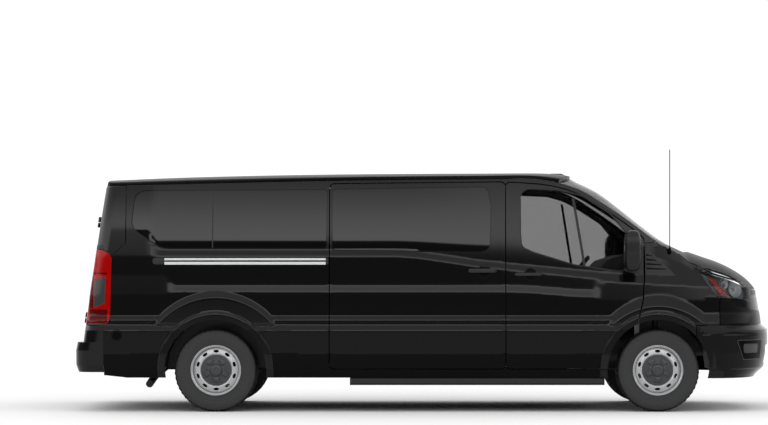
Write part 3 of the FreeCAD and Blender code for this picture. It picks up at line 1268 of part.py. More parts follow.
seat_half = d.seat_width / 2
front_seats = [seat(front(-617), middle - seat_half, middle + seat_half, 1)
               for middle in (-d.seat_width, d.seat_width)]
aisle_edge = -430
bench_edge = d.seat_width * 1.8
rear_bench_half = d.rear_liner_inner - 14
benches = [seat(front(-1540), aisle_edge, bench_edge, 3), seat(front(-2390), aisle_edge, bench_edge, 3),
           seat(rear(510), -rear_bench_half, rear_bench_half, 3)]

# Dashboard over the bulkhead, with the steering column's cover, and the steering wheel
dash_half = -inner_face(front(-250), 1150) - 22
dash_rear = front(-470)
dashboard = prism("XZ", [
    (dash_rear + 60, 930, 30), (bulkhead_top_x - d.fit_gap, 900),
    (bulkhead_top_x - d.fit_gap, 1330 + d.fit_gap), (front(-40), 1330 + d.fit_gap), (front(-40), 1352, 15),
    (front(-270), 1340, 60), (dash_rear + 50, 1290, 50),
    (dash_rear, 1240, 40), (dash_rear, 1150, 60)], -dash_half, dash_half)
column_lean = math.radians(38)
column = V(math.cos(column_lean), 0, -math.sin(column_lean))
steering_centre = V(front(-610), d.seat_width, 1185)
hub_depth = 60
shroud = rod(44, steering_centre + column * (hub_depth + d.fit_gap), steering_centre + column * 260)
dashboard = biggest(dashboard.fuse(shroud))
steering_wheel = Part.makeTorus(d.steering_radius - d.steering_tube, d.steering_tube, steering_centre, column)
steering_wheel = steering_wheel.fuse([
    Part.makeCone(40, 62, hub_depth, steering_centre + column * hub_depth, column * -1),
    rod(34, steering_centre + column * (hub_depth - 20), steering_centre + column * hub_depth)])
across = V(0, 1, 0)
upward = column.cross(across) * -1
for spoke in (across, across * -1, upward * -1):
    width = spoke.cross(column)
    reach = d.steering_radius - d.steering_tube
    corner = steering_centre + spoke * 40 - width * 16 + column * 8
    plate = Part.makePolygon([corner, corner + width * 32, corner + width * 32 + spoke * (reach - 40),
                              corner + spoke * (reach - 40), corner])
    steering_wheel = steering_wheel.fuse(Part.Face(plate).extrude(column * 12))
steering_wheel = biggest(steering_wheel)

# Mirrors on the front doors, and the antennas on the roof and the fender
mirror_rear, mirror_front = front(-300), front(-161)
mirror_out = d.mirror_span / 2
mirror_in = mirror_out - 172
mirror_head = prism("YZ", [
    (-mirror_out, 1196, 45), (-mirror_in, 1190, 45), (-mirror_in, 1528, 60), (-mirror_out, 1537, 60)],
    mirror_rear, mirror_front)
mirror_head = mirror_head.common(prism("XY", [
    (mirror_rear, -mirror_out, 14), (mirror_front - 30, -mirror_out, 70), (mirror_front, -mirror_in, 60),
    (mirror_rear, -mirror_in, 14)], 1100, 1600))
foot_outline = [
    (front(-212), 1215, 20), (front(-140), 1215, 20), (front(-135), 1320, 60), (front(-208), 1432, 20)]
mirror_foot = side_slab(-26, -d.fit_gap).common(side_prism(foot_outline))
mirror_arm = prism("YZ", [
    (-mirror_in - 20, 1232, 12), (-960, 1222), (-960, 1300), (-mirror_in - 20, 1290, 12)],
    front(-206), front(-170))
mirror_arm = mirror_arm.cut(side_slab(-d.fit_gap, 200))
mirror = biggest(mirror_head.fuse([mirror_foot, mirror_arm]))

antenna_x = front(106)
antenna_y = -hood_side_half(antenna_x) - 25
antenna_foot = fender_crest(antenna_x) - 30
roof_pod = Part.makeLoft([
    outline("XY", [(front(-876), -30, 20), (front(-708), -12, 11), (front(-708), 12, 11),
                   (front(-876), 30, 20)], 0, roof_line(front(-800)) - 6),
    outline("XY", [(front(-868), -16, 12), (front(-770), -5, 4), (front(-770), 5, 4),
                   (front(-868), 16, 12)], 0, roof_line(front(-800)) + 22)], True, True)
roof_pod = biggest(roof_pod.cut(roof_solid(-d.fit_gap)))
antenna_low, antenna_high = [V(antenna_x, antenna_y, z) for z in (antenna_foot, d.antenna_top_z)]
antenna_rod = rod(d.antenna_radius, antenna_low, antenna_high)
antenna_base = Part.makeCone(22, 8, 40, antenna_low, V(0, 0, 1))
antenna = biggest(antenna_rod.fuse(antenna_base).cut(fender_slab(-d.fit_gap, 60)))

# Left-hand side wall: no sliding door, and one long row of fixed glass behind the front door
left_frame = side_wall.common(side_prism(side_frame_outline)).cut(
    [above_gutter, side_prism(front_door_outline, 40, half_gap), side_prism(rear_window_outline),
     side_prism(slide_window_outline)])
left_panel = mirrored(biggest(biggest(left_frame).fuse(side_tail)))
slide_glass = pane(slide_window_outline)
rear_header = joined(header, mirrored(header))

add_node("side_panel_right", side_panel)
add_node("side_panel_left", left_panel)
add_node("door_posts", both_sides(door_posts))
add_node("rear_corner_panels", both_sides(corner_post))
add_node("rear_header", rear_header)
add_node("roof_panel", roof_panel)
add_node("floor_pan", floor_pan)
add_node("bulkhead", bulkhead)
add_node("front_fenders", both_sides(fender))
add_node("cowl_panel", cowl_panel)
add_node("front_panel", front_panel)
add_node("front_bumper", front_bumper)
add_node("rear_bumper", rear_bumper)
add_node("grille", grille)
add_node("headlamps", both_sides(headlamp))
add_node("tail_lamps", both_sides(tail_lamp))
add_node("windscreen", windscreen)
add_node("side_windows", both_sides(side_glass) + [mirrored(slide_glass)])
add_node("sliding_door", sliding_door)
add_node("sliding_door_glass", slide_glass)
add_node("door_track", door_track)
add_node("step_board", step_board)
add_node("wheel_housings", both_sides(front_liner) + both_sides(rear_liner))
add_node("engine_block", engine_block)
add_node("front_subframe", subframe)
add_node("front_struts", both_sides(strut))
add_node("rear_axle", axle)
add_node("leaf_springs", both_sides(leaf_spring))
add_node("drive_shaft", drive_shaft)
add_node("exhaust", exhaust)
add_node("fuel_tank", fuel_tank)
add_node("dashboard", dashboard)
add_node("front_seats", front_seats)
add_node("benches", benches)
add_node("antennas", [antenna, roof_pod])
add_node("hood", hood)
for side, turn in (("right", lambda shape: shape), ("left", mirrored)):
    add_node(f"front_door_{side}", turn(front_door))
    add_node(f"front_door_glass_{side}", turn(pane(front_window_outline)))
    add_node(f"mirror_{side}", turn(mirror))
    add_node(f"rear_door_{side}", turn(rear_door))
    add_node(f"rear_door_glass_{side}", turn(rear_glass))
    add_node(f"knuckle_{side}", turn(knuckle))
add_node("steering_wheel", steering_wheel)

doc.recompute()
for item in doc.Objects:
    if any(flag in item.State for flag in ("Invalid", "Error")):
        raise SystemExit(f"{item.Label} did not compute")
os.makedirs("parts", exist_ok=True)
for node in nodes:
    if node.Shape.isNull() or not node.Shape.isValid():
        raise SystemExit(f"{node.Label} is not a valid shape")
    node.Shape.exportStep(f"parts/{node.Label}.step")
print(f"{len(nodes)} sub-parts exported")
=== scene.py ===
import json
import math

import bmesh
import bpy
import numpy as np
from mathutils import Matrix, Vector
from mathutils.geometry import delaunay_2d_cdt
from mathutils.kdtree import KDTree


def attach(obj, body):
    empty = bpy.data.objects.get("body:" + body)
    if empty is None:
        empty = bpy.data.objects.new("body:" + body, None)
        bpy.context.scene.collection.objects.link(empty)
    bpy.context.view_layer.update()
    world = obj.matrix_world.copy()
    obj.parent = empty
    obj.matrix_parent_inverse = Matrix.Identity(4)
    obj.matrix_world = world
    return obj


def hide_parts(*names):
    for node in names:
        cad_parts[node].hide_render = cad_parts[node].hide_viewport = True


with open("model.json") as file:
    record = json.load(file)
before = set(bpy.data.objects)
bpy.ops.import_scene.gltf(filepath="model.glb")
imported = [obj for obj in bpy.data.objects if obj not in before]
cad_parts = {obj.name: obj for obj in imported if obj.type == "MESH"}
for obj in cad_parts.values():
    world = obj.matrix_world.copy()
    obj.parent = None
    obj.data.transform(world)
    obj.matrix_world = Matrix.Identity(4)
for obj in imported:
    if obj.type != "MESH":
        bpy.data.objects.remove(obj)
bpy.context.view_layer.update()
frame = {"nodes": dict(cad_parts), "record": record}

# Plans and outlines below are in millimetres, in the frame's axes; meshes are in metres.
MM = 0.001
SIDES = (("right", False), ("left", True))
# half width over the panels, the axles' X, and the heights of the roof and the axles
HALF = 1030.0
FRONT, REAR = 1967.5, -1782.5
ROOF = 2050.0
AXLE_Z = 352.0
# where the sides start to turn in at the rear, the doors' edges, and half the gap of a shut line
SIDE_REAR = REAR - 762
DOOR_LINE = FRONT - 1292
SLIDE_REAR = DOOR_LINE - 1495
DOOR_FRONT = FRONT - 118
HALF_GAP = 3.5

scene = bpy.context.scene


# colours and materials

def rgb(code):
    """Linear colour of an sRGB hex code."""
    values = [int(code[i:i + 2], 16) / 255 for i in (1, 3, 5)]
    return [v / 12.92 if v <= 0.04045 else ((v + 0.055) / 1.055) ** 2.4 for v in values] + [1.0]


def node(tree, kind, **sockets):
    """Adds a shader node; names with a leading underscore are node settings, the rest are sockets."""
    made = tree.nodes.new(kind)
    for name, value in sockets.items():
        if name.startswith("_"):
            setattr(made, name[1:], value)
            continue
        by_number = name[0] == "i" and name[1:].isdigit()
        socket = made.inputs[int(name[1:]) if by_number else name.replace("_", " ")]
        if isinstance(value, bpy.types.NodeSocket):
            tree.links.new(value, socket)
        else:
            socket.default_value = value
    return made


def material(name, color, rough=0.5, metal=0.0, ior=1.5, **sockets):
    """A material with its shader; extra sockets are set directly."""
    made = bpy.data.materials.new(name)
    made.use_nodes = True
    tree = made.node_tree
    shader = tree.nodes["Principled BSDF"]
    shader.inputs["Base Color"].default_value = rgb(color)
    shader.inputs["Roughness"].default_value = rough
    shader.inputs["Metallic"].default_value = metal
    shader.inputs["IOR"].default_value = ior
    for key, value in sockets.items():
        shader.inputs[key.replace("_", " ")].default_value = value
    return made


def grain(made, scale, depth, detail=3.0, stretch=(1, 1, 1), spread=None, colors=None):
    """Bump from noise of so many lumps a metre, and with colours a slight mottling."""
    tree = made.node_tree
    shader = tree.nodes["Principled BSDF"]
    place = node(tree, "ShaderNodeTexCoord")
    mapping = node(tree, "ShaderNodeMapping", Vector=place.outputs["Object"], Scale=stretch)
    noise = node(tree, "ShaderNodeTexNoise", Vector=mapping.outputs[0], Scale=scale, Detail=detail)
    bump = node(tree, "ShaderNodeBump", Strength=1.0, Distance=depth * MM, Height=noise.outputs["Fac"])
    tree.links.new(bump.outputs[0], shader.inputs["Normal"])
    if spread:
        ramp = node(tree, "ShaderNodeMapRange", Value=noise.outputs["Fac"], To_Min=spread[0],
                    To_Max=spread[1])
        tree.links.new(ramp.outputs[0], shader.inputs["Roughness"])
    if colors:
        mix = node(tree, "ShaderNodeMix", _data_type="RGBA", Factor=noise.outputs["Fac"],
                   A=rgb(colors[0]), B=rgb(colors[1]))
        tree.links.new(mix.outputs["Result"], shader.inputs["Base Color"])
    return made


# orange peel of sprayed paint, its waves 2 to 3 mm across
PEEL = {"scale": 380, "depth": 0.004, "detail": 1}

# clearcoated black paint: a deep dark mirror with crisp highlights on the creases
PAINT = grain(material("gloss_black_paint", "#070708", 0.12, Specular_IOR_Level=0.24), **PEEL)
# the same paint on the roof and hood, with its reflection cut almost to nothing: painted shade, so that it
# stays black under the open sky
SHADED_ROOF_PAINT = grain(material("roof_paint_painted_shade", "#070708", 0.3, Specular_IOR_Level=0.03), **PEEL)
# the same paint on the cladding's upper face: blurred and weaker reflections
CLAD_PAINT = grain(material("upper_cladding_paint", "#070708", 0.2, Specular_IOR_Level=0.15), **PEEL)
# the same paint on the cladding's lower face, which leans towards the road: a shade darker and with hardly
# any reflection, as painted shade
SHADED_LOW_PAINT = grain(material("lower_paint_painted_shade", "#060607", 0.25, Specular_IOR_Level=0.07), **PEEL)
# satin black plastic, moulded smooth: broad soft highlights on seals, mirrors and flanges
MOULDING = grain(material("satin_black_moulding", "#0b0b0c", 0.34, Specular_IOR_Level=0.3), 900, 0.02)
# black plastic moulded with a fine grain: dull, its highlight broken into specks
PLASTIC = grain(material("grained_black_plastic", "#101011", 0.48, Specular_IOR_Level=0.4), 700, 0.05, 4,
                spread=(0.42, 0.56))
# deeply tinted glass, polished: nearly opaque, with a clear reflection
DARK_GLASS = material("privacy_glass", "#040405", 0.03, Specular_IOR_Level=0.3)
# lightly tinted glass of the front doors: clear, and it hardly bends what stands behind it
CLEAR_GLASS = material("tinted_glass", "#acacac", 0.0, ior=1.05, Transmission_Weight=1.0,
                       Specular_IOR_Level=0.5)
# laminated windscreen glass, coated against glare: clear, with the faintest reflection
SCREEN_GLASS = material("coated_screen_glass", "#a4a4a4", 0.0, ior=1.02, Transmission_Weight=1.0,
                        Specular_IOR_Level=0.1)
# silver paint with metal flakes, on pressed steel: bright, with a soft metallic sheen
WHEEL_PAINT = grain(material("silver_wheel_paint", "#b4b5b6", 0.34, 0.55), 1500, 0.01)
# dark grey moulded plastic of the wheel caps: dull, between the silver disc and the black tyre
CAP_PLASTIC = grain(material("grey_cap_plastic", "#303134", 0.34), 900, 0.03)
# tyre rubber with dust on its sidewall: dull and slightly mottled
RUBBER = grain(material("tyre_rubber", "#303031", 0.7, Specular_IOR_Level=0.35), 260, 0.08, 5,
               spread=(0.62, 0.8), colors=("#262627", "#3c3c3d"))
# rubber of the tread, from the shoulders out: darker and duller than the sidewall
TREAD_RUBBER = grain(material("tread_rubber", "#121213", 0.8, Specular_IOR_Level=0.2), 260, 0.1, 5,
                     colors=("#0e0e0f", "#19191a"))
# brushed light metal of the door track: bright, its highlight drawn out along the track
TRACK_METAL = grain(material("brushed_track_metal", "#d9dadb", 0.3, 0.7), 900, 0.01, 2, (0.02, 1, 1))
# red acrylic, polished: saturated, with a hard gloss
RED_LENS = material("red_lamp_plastic", "#9c0403", 0.1, ior=1.49, Specular_IOR_Level=0.15)
# smoked red acrylic: nearly black
SMOKE_LENS = material("smoked_lamp_plastic", "#4a0606", 0.1, ior=1.49, Specular_IOR_Level=0.15)
# clear acrylic over a dark reflector: the grey gloss of the reversing lamp
PALE_LENS = material("pale_lamp_plastic", "#37393a", 0.12, ior=1.49, Specular_IOR_Level=0.2)
# hard clear polycarbonate of the headlamps' covers: only its reflections show
LAMP_COVER = material("clear_lamp_cover", "#f4f6f6", 0.0, ior=1.15, Transmission_Weight=1.0,
                      Specular_IOR_Level=0.5)
# metal film on smooth plastic: a bright mirror
CHROME = material("reflector_chrome", "#d4d6d8", 0.12, 1.0)
# the same film over a grained bowl: grey, as it scatters what it takes in
BOWL_CHROME = material("grained_reflector_chrome", "#6a6c6f", 0.3, 0.9)
# red acrylic of the marker in the headlamp: dark while it is unlit
MARKER_LENS = material("marker_lamp_plastic", "#6a0605", 0.15, ior=1.49, Specular_IOR_Level=0.2)
# silvered mirror glass: a clean mirror
MIRROR_GLASS = material("silvered_mirror_glass", "#c9cccf", 0.02, 1.0)
# black moulded plastic inside the headlamps: dark, with a soft sheen
LAMP_HOUSING = material("lamp_housing_plastic", "#1c1d1f", 0.35)
# thick clear glass of the fog lamps over a dark bowl: a dark gloss
FOG_LENS = material("fog_lamp_glass", "#26282a", 0.06, 0.2)
# black enamel baked on the windscreen's edge: flat black
BAND_BLACK = material("black_screen_enamel", "#08080a", 0.5)
# paint and plastic in the bottom of dishes and recesses: near black, as little light falls in
DISH = material("shaded_dish_paint", "#030303", 0.3, Specular_IOR_Level=0.05)
# painted steel of the underbody, dusted by the road: dull black, mottled
CHASSIS = grain(material("black_chassis_paint", "#121213", 0.6), 120, 0.15, 4, spread=(0.5, 0.75),
                colors=("#0e0e0f", "#1b1a1a"))
# machined cast iron of discs, hubs and the engine: grey, with a broken metallic sheen
IRON = grain(material("machined_iron", "#4b4a49", 0.45, 0.9), 600, 0.03, 3, spread=(0.35, 0.6),
             colors=("#454443", "#5a5654"))
# exhaust steel darkened by heat: brown black, half dull
EXHAUST = grain(material("blackened_exhaust_steel", "#1e1d1c", 0.5, 0.6), 90, 0.05, 4, spread=(0.42, 0.65),
                colors=("#191817", "#262423"))
# woven seat cloth: dull, with a light fuzz towards its edges
CLOTH = grain(material("woven_seat_cloth", "#242427", 0.9, Sheen_Weight=0.3), 1600, 0.25, 2,
              colors=("#1e1e21", "#303034"))
# moulded dashboard skin: dark, with a soft sheen
SKIN = grain(material("moulded_dash_skin", "#1d1d1f", 0.62), 600, 0.12, 3)
# floor covering and inner trim: plain dull grey
TRIM = grain(material("grey_inner_trim", "#3c3d40", 0.75), 500, 0.1, 3)

BY_SLOT = {
    "black_paint": PAINT, "underbody_steel": CHASSIS, "black_plastic": PLASTIC, "dark_glass": DARK_GLASS,
    "clear_glass": CLEAR_GLASS, "headlamp_plastic": LAMP_COVER, "tail_lamp_plastic": RED_LENS,
    "track_metal": TRACK_METAL, "engine_iron": IRON, "exhaust_steel": EXHAUST, "seat_fabric": CLOTH,
    "wheel_steel": WHEEL_PAINT, "tyre_rubber": RUBBER}
BY_NODE = {
    "dashboard": SKIN, "floor_pan": TRIM, "door_posts": TRIM, "bulkhead": TRIM, "roof_panel": SHADED_ROOF_PAINT,
    "antennas": SHADED_ROOF_PAINT, "windscreen": SCREEN_GLASS, "wheel_housings": MOULDING, "knuckle_right": IRON,
    "knuckle_left": IRON}
for part in frame["record"]["subparts"]:
    cad = frame["nodes"][part["node"]]
    cad.data.materials.clear()
    cad.data.materials.append(BY_NODE.get(part["node"], BY_SLOT[part["material_slot"]]))


# the body's surface, sampled for whole arrays of points

def smoothstep(t):
    """Smooth rise from 0 to 1, flat beyond both ends."""
    t = np.clip(t, 0, 1)
    return t * t * (3 - 2 * t)


def curve_through(points):
    """The same smooth curve through (x, z) points that the solids follow."""
    px, pz = np.array(points, float).T
    slopes = np.empty_like(px)
    slopes[1:-1] = (pz[2:] - pz[:-2]) / (px[2:] - px[:-2])
    slopes[0], slopes[-1] = (pz[1] - pz[0]) / (px[1] - px[0]), (pz[-1] - pz[-2]) / (px[-1] - px[-2])

    def height(x):
        x = np.asarray(x, float)
        i = np.clip(np.searchsorted(px, x, "right") - 1, 0, len(px) - 2)
        span = px[i + 1] - px[i]
        u = np.clip((x - px[i]) / span, 0, 1)
        inside = (pz[i] * (1 + 2 * u) * (1 - u) ** 2 + pz[i + 1] * u * u * (3 - 2 * u)
                  + span * slopes[i] * u * (1 - u) ** 2 - span * slopes[i + 1] * u * u * (1 - u))
        return inside + slopes[0] * np.minimum(x - px[0], 0) + slopes[-1] * np.maximum(x - px[-1], 0)

    return height


gutter = curve_through([
    (REAR - 1007, ROOF - 132), (REAR - 747, ROOF - 128), (REAR + 962, ROOF - 90), (FRONT - 1337, ROOF - 74),
    (FRONT - 1117, ROOF - 73), (FRONT - 942, ROOF - 90), (FRONT - 795, ROOF - 120), (FRONT - 647, ROOF - 173),
    (FRONT - 452, ROOF - 291), (FRONT - 305, ROOF - 389), (FRONT - 158, ROOF - 497),
    (FRONT - 11, ROOF - 609)])
hood_line = curve_through([
    (FRONT + 150, 1408), (FRONT + 323, 1365), (FRONT + 429, 1329), (FRONT + 587, 1273), (FRONT + 745, 1193),
    (FRONT + 840, 1123), (FRONT + 899, 1054), (FRONT + 915, 1025)])
NOSE_START = FRONT + 382
FENDER_REAR = DOOR_FRONT + 7
HOOD_REAR_SIDE, HOOD_REAR_CENTRE = FRONT + 176, FRONT + 323
PILLAR_BASE = ROOF - 620
hood_side_half = curve_through([
    (FENDER_REAR, 934), (FRONT - 11, 912), (FRONT + 80, 878), (HOOD_REAR_SIDE, 845), (FRONT + 293, 872),
    (NOSE_START, 893)])
fender_crest = curve_through([
    (FENDER_REAR, PILLAR_BASE - 6), (FRONT - 11, PILLAR_BASE - 8), (FRONT + 80, 1394),
    (HOOD_REAR_SIDE, 1350)])
HOOD_HALF, HOOD_FALL = 872, 115


def hood_height(x, y):
    """Height of the hood, which falls away to its sides: more at the nose, less at the cowl."""
    nose = 1 + 1.2 * smoothstep((x - (FRONT + 632)) / 330)
    cowl = 1 - 0.45 * smoothstep((FRONT + 290 - x) / 115)
    return hood_line(x) - HOOD_FALL * nose * cowl * (np.abs(y) / HOOD_HALF) ** 3


# the side's creases: fixed heights up to the cladding's top, then the middle crease and the belt line, which
# drop towards the front and run out at their ends; and how far inside the widest point each one lies
SILL_Z = 363
LOW_LEVELS = (290, SILL_Z, 500, 690, 737, 782, 810)
INSETS = np.array([45, 27, 9, 2, 17, 17, 29, 33, 43, 48, 62, 148])[:, None]
MIDDLE, MIDDLE_DROP, MIDDLE_ENDS = 1045, 45, (-2130, 1400)
BELT, BELT_DROP, BELT_REAR = 1345, 105, -2270
WEDGE = math.tan(math.radians(5.6))
SIDE_TOP = 2010
# the segment from belt to roof is barrelled, by a quarter of this at its middle
BOWED, BARREL = 10, 56


def side_levels(x):
    """Heights and half widths of the side's creases at each station, as rows."""
    belt = BELT - BELT_DROP * smoothstep((x - (FRONT - 2267)) / 1000)
    belt = belt - WEDGE * np.maximum(0, x - (FRONT - 1367)) + 0.5 * WEDGE * np.maximum(0, x - (FRONT - 367))
    middle = MIDDLE - MIDDLE_DROP * smoothstep((x - DOOR_LINE) / 800)
    middle_end = np.maximum(smoothstep((MIDDLE_ENDS[0] - x) / 90), smoothstep((x - MIDDLE_ENDS[1]) / 130))
    belt_end = smoothstep((BELT_REAR - x) / 90)
    middle_top = np.minimum(middle + 29 + 90 * middle_end, belt - 36)
    one = np.ones_like(x)
    heights = np.array([level * one for level in LOW_LEVELS] + [
        middle - 29 - 30 * middle_end, middle_top, belt - 26, belt + 26 + 170 * belt_end, SIDE_TOP * one])
    taper = 40 * (np.maximum(0, x - (FRONT - 1367)) / 1350) ** 2
    return heights, HALF - INSETS - taper * np.clip((heights - 1100) / 850, 0, 1)


def along(z, heights, widths, bow=None):
    """Half width at heights z on polylines, with a barrelled segment where one is named."""
    out = widths[0] + (widths[1] - widths[0]) * (z - heights[0]) / (heights[1] - heights[0])
    for i in range(len(heights) - 1):
        share = (z - heights[i]) / (heights[i + 1] - heights[i])
        value = widths[i] + (widths[i + 1] - widths[i]) * share
        if i == bow:
            value = value + BARREL * share * (1 - share)
        out = np.where(z >= heights[i], value, out)
    return out


# wheel arches: each axle with the radius at which its swelling crests, how far the lip and the swelling
# reach, and the half widths of the lip, of the crest and of the swelling's foot
ARCHES = ((FRONT, 545.0), (REAR, 625.0))
LIP_REACH, SWELL_REACH = 492, 690
LIP_HALF, CREST_HALF, FOOT_HALF = 1031.0, 1024, 975


def with_arches(x, z, width):
    """Half width with the swellings over the wheels and the lips round the arches."""
    for axle, crest in ARCHES:
        reach = np.hypot(x - axle, z - AXLE_Z)
        share = np.clip((reach - crest) / (SWELL_REACH - crest), 0, 1.2)
        swelling = CREST_HALF - (CREST_HALF - FOOT_HALF) * share
        swelling = swelling - 60 * smoothstep((740 - z) / 26)
        raised = np.maximum(width, np.where(reach < 760, swelling, 0))
        width = np.where((z > 700) & (z < 1300), raised, width)
        width = np.where((reach < LIP_REACH) & (z > SILL_Z), LIP_HALF, width)
    return width


# offsets in x and z, with their weights, over which the surface is averaged
SMEAR = [(0, 0, 4)] + [(7 * math.cos(a), 9 * math.sin(a), 1) for a in np.linspace(0, 2 * math.pi, 9)[:-1]]
SMEAR += [(0, 15, 0.7), (0, -15, 0.7)]


def smeared(function, x, z):
    """The function averaged over a few millimetres, which rounds the creases."""
    total = sum(w for _, _, w in SMEAR)
    return sum(w * function(x + dx, z + dz) for dx, dz, w in SMEAR) / total


def raw_side(x, z):
    """Half width of the sides before their creases are rounded."""
    heights, widths = side_levels(x)
    return with_arches(x, z, along(z, heights, widths, BOWED))


# behind the sides the skin's first coordinate runs on by these lengths: the flank that turns in, the round
# corner and half the back
FLANK, CORNER, BACK = 200.0, 173.0, 900.0
CORNER_RADIUS, BACK_BULGE = 110, 35
REAR_LEAN = math.radians(8)


def rear_face(z):
    """X of the leaning rear face, beside the corners."""
    return REAR - 942 - (ROOF - 123 - z) * math.tan(REAR_LEAN)


def side_point(s, z):
    """Point of the right-hand skin: s is X along the side, then the distance round the rear corner."""
    x = np.maximum(s, SIDE_REAR)
    width = smeared(raw_side, x, z)
    round_way = np.maximum(SIDE_REAR - s, 0)
    face = rear_face(z)
    flank = np.clip(round_way / FLANK, 0, 1)
    turn = np.clip((round_way - FLANK) / CORNER, 0, 1) * math.pi / 2
    back = np.clip((round_way - FLANK - CORNER) / BACK, 0, 1)
    px = x + flank * (face + CORNER_RADIUS - SIDE_REAR) - CORNER_RADIUS * np.sin(turn)
    py = -width + CORNER_RADIUS * (1 - np.cos(turn)) + back * (width - CORNER_RADIUS)
    px = px - BACK_BULGE * (1 - (1 - back) ** 2)
    return np.stack([np.where(round_way > 0, px, x), py, z], -1)


def s_from_x(x, z):
    """Where round the rear a point seen from the side falls."""
    face = rear_face(z)
    flank = (SIDE_REAR - x) / (SIDE_REAR - face - CORNER_RADIUS)
    turn = np.arcsin(np.clip((face + CORNER_RADIUS - x) / CORNER_RADIUS, 0, 1)) / (math.pi / 2)
    beyond = SIDE_REAR - FLANK - CORNER * turn
    return np.where(x >= SIDE_REAR, x, np.where(flank <= 1, SIDE_REAR - FLANK * flank, beyond))


def s_from_y(y, z):
    """Where a point of the rear face seen from behind falls."""
    width = smeared(raw_side, np.full_like(z, SIDE_REAR), z)
    return SIDE_REAR - FLANK - CORNER - BACK * (y + width - CORNER_RADIUS) / (width - CORNER_RADIUS)


# the nose: how far ahead of the axle each level of the fender's section reaches
NOSE_REACH = np.array([903, 985, 1023, 1023, 964, 961, 958, 930, 910, 903, 899, 892, 885, 880.0])


def fender_levels(x):
    """The side's levels below the belt, then the fender's crest and the hood's edge over them."""
    heights, widths = side_levels(x)
    heights, widths = heights[:-1], widths[:-1]
    half = hood_side_half(x)
    top = np.where(x < HOOD_REAR_SIDE, fender_crest(x), hood_height(x, half))
    crest_half = half + 0.62 * (widths[-1] - half)
    heights = np.vstack([heights, heights[-1] + 0.6 * (top - heights[-1]), top, top + 40])
    widths = np.vstack([widths, crest_half, half, half - 60])
    return heights, widths


NOSE_LEVELS = fender_levels(np.array([NOSE_START]))[0][:, 0]
# the nose's plan is a superellipse, and the distance along it carries the section round
PLAN_ANGLES = np.linspace(0, math.pi / 2, 400)
PLAN_POWER = 2 / 2.6
PLAN_REACH, PLAN_HALF = 590, 960
nose_plan = np.stack([PLAN_REACH * np.sin(PLAN_ANGLES) ** PLAN_POWER,
                      PLAN_HALF * np.cos(PLAN_ANGLES) ** PLAN_POWER], -1)
PLAN_LENGTHS = np.concatenate([[0], np.cumsum(np.hypot(*np.diff(nose_plan, axis=0).T))])
NOSE_LENGTH = PLAN_LENGTHS[-1]
TIP = NOSE_START + NOSE_LENGTH


def raw_fender(x, z):
    """Half width of the fenders before their creases are rounded."""
    heights, widths = fender_levels(x)
    return with_arches(x, z, along(z, heights, widths))


def front_point(s, z):
    """Point of the right-hand front skin: s is X along the fender, then the distance round the nose."""
    x = np.minimum(s, NOSE_START)
    width = smeared(raw_fender, x, z)
    reach = smeared(lambda _, level: np.interp(level, NOSE_LEVELS, NOSE_REACH), x, z)
    angle = np.interp(np.maximum(s - NOSE_START, 0), PLAN_LENGTHS, PLAN_ANGLES)
    far = s > NOSE_START
    ahead, across = np.sin(angle) ** PLAN_POWER, np.clip(np.cos(angle), 0, 1) ** PLAN_POWER
    px = np.where(far, NOSE_START + (FRONT + reach - NOSE_START) * ahead, x)
    return np.stack([px, -width * np.where(far, across, 1.0), z], -1)


def front_s(target, z, axis):
    """Where round the nose a point with a given X (axis 0) or Y (axis 1) falls, found by halving."""
    low, high = np.full_like(z, NOSE_START - 900), np.full_like(z, TIP)
    for _ in range(40):
        middle = (low + high) / 2
        short = front_point(middle, z)[:, axis] < target
        if axis == 1:
            short = short | (middle < NOSE_START - 1)
        low, high = np.where(short, middle, low), np.where(short, high, middle)
    return (low + high) / 2


# flat outlines

def rounded(points, radius=0.0, step=7.0):
    """Dense closed outline through points, with each corner rounded by its own or the given radius."""
    out = []
    count = len(points)
    for i, point in enumerate(points):
        here = Vector(point[:2])
        before = Vector(points[i - 1][:2]) - here
        after = Vector(points[(i + 1) % count][:2]) - here
        bend = before.angle(after) / 2
        wanted = point[2] if len(point) > 2 else radius
        if wanted <= 0 or bend > 1.55:
            out.append(here)
            continue
        reach = min(wanted / math.tan(bend), 0.49 * before.length, 0.49 * after.length)
        size = reach * math.tan(bend)
        before.normalize()
        after.normalize()
        centre = here + (before + after).normalized() * (size / math.sin(bend))
        start, end = here + before * reach - centre, here + after * reach - centre
        turn = start.angle_signed(end)
        parts = max(2, int(abs(turn) * size / step) + 1, int(abs(turn) / 0.35) + 1)
        for k in range(parts + 1):
            c, s = math.cos(-turn * k / parts), math.sin(-turn * k / parts)
            out.append(centre + Vector((start.x * c - start.y * s, start.x * s + start.y * c)))
    return np.array([tuple(p) for p in out])


def dense(points, step=14.0):
    """The closed outline with its long edges divided."""
    out = []
    for a, b in zip(points, np.roll(points, -1, 0)):
        parts = max(1, int(math.ceil(np.hypot(*(b - a)) / step)))
        out += [a + (b - a) * k / parts for k in range(parts)]
    return np.array(out)


def area(points):
    """Signed area inside a closed outline."""
    x, z = points.T
    return 0.5 * np.sum(x * np.roll(z, -1) - np.roll(x, -1) * z)


def grown(points, distance):
    """The outline moved outwards by a distance."""
    sign = 1 if area(points) > 0 else -1
    ahead = np.roll(points, -1, 0) - points
    ahead = ahead / np.maximum(np.hypot(*ahead.T), 1e-9)[:, None]
    normal = np.stack([ahead[:, 1], -ahead[:, 0]], -1) * sign
    joint = normal + np.roll(normal, 1, 0)
    joint = joint / np.maximum((joint ** 2).sum(1), 0.4)[:, None] * 2
    return points + joint * distance


def inside(points, loop):
    """Which points lie inside a closed outline."""
    x, z = points.T
    hits = np.zeros(len(points), bool)
    for (x0, z0), (x1, z1) in zip(loop, np.roll(loop, -1, 0)):
        if z0 != z1:
            hits ^= ((z0 > z) != (z1 > z)) & (x < (x1 - x0) * (z - z0) / (z1 - z0) + x0)
    return hits


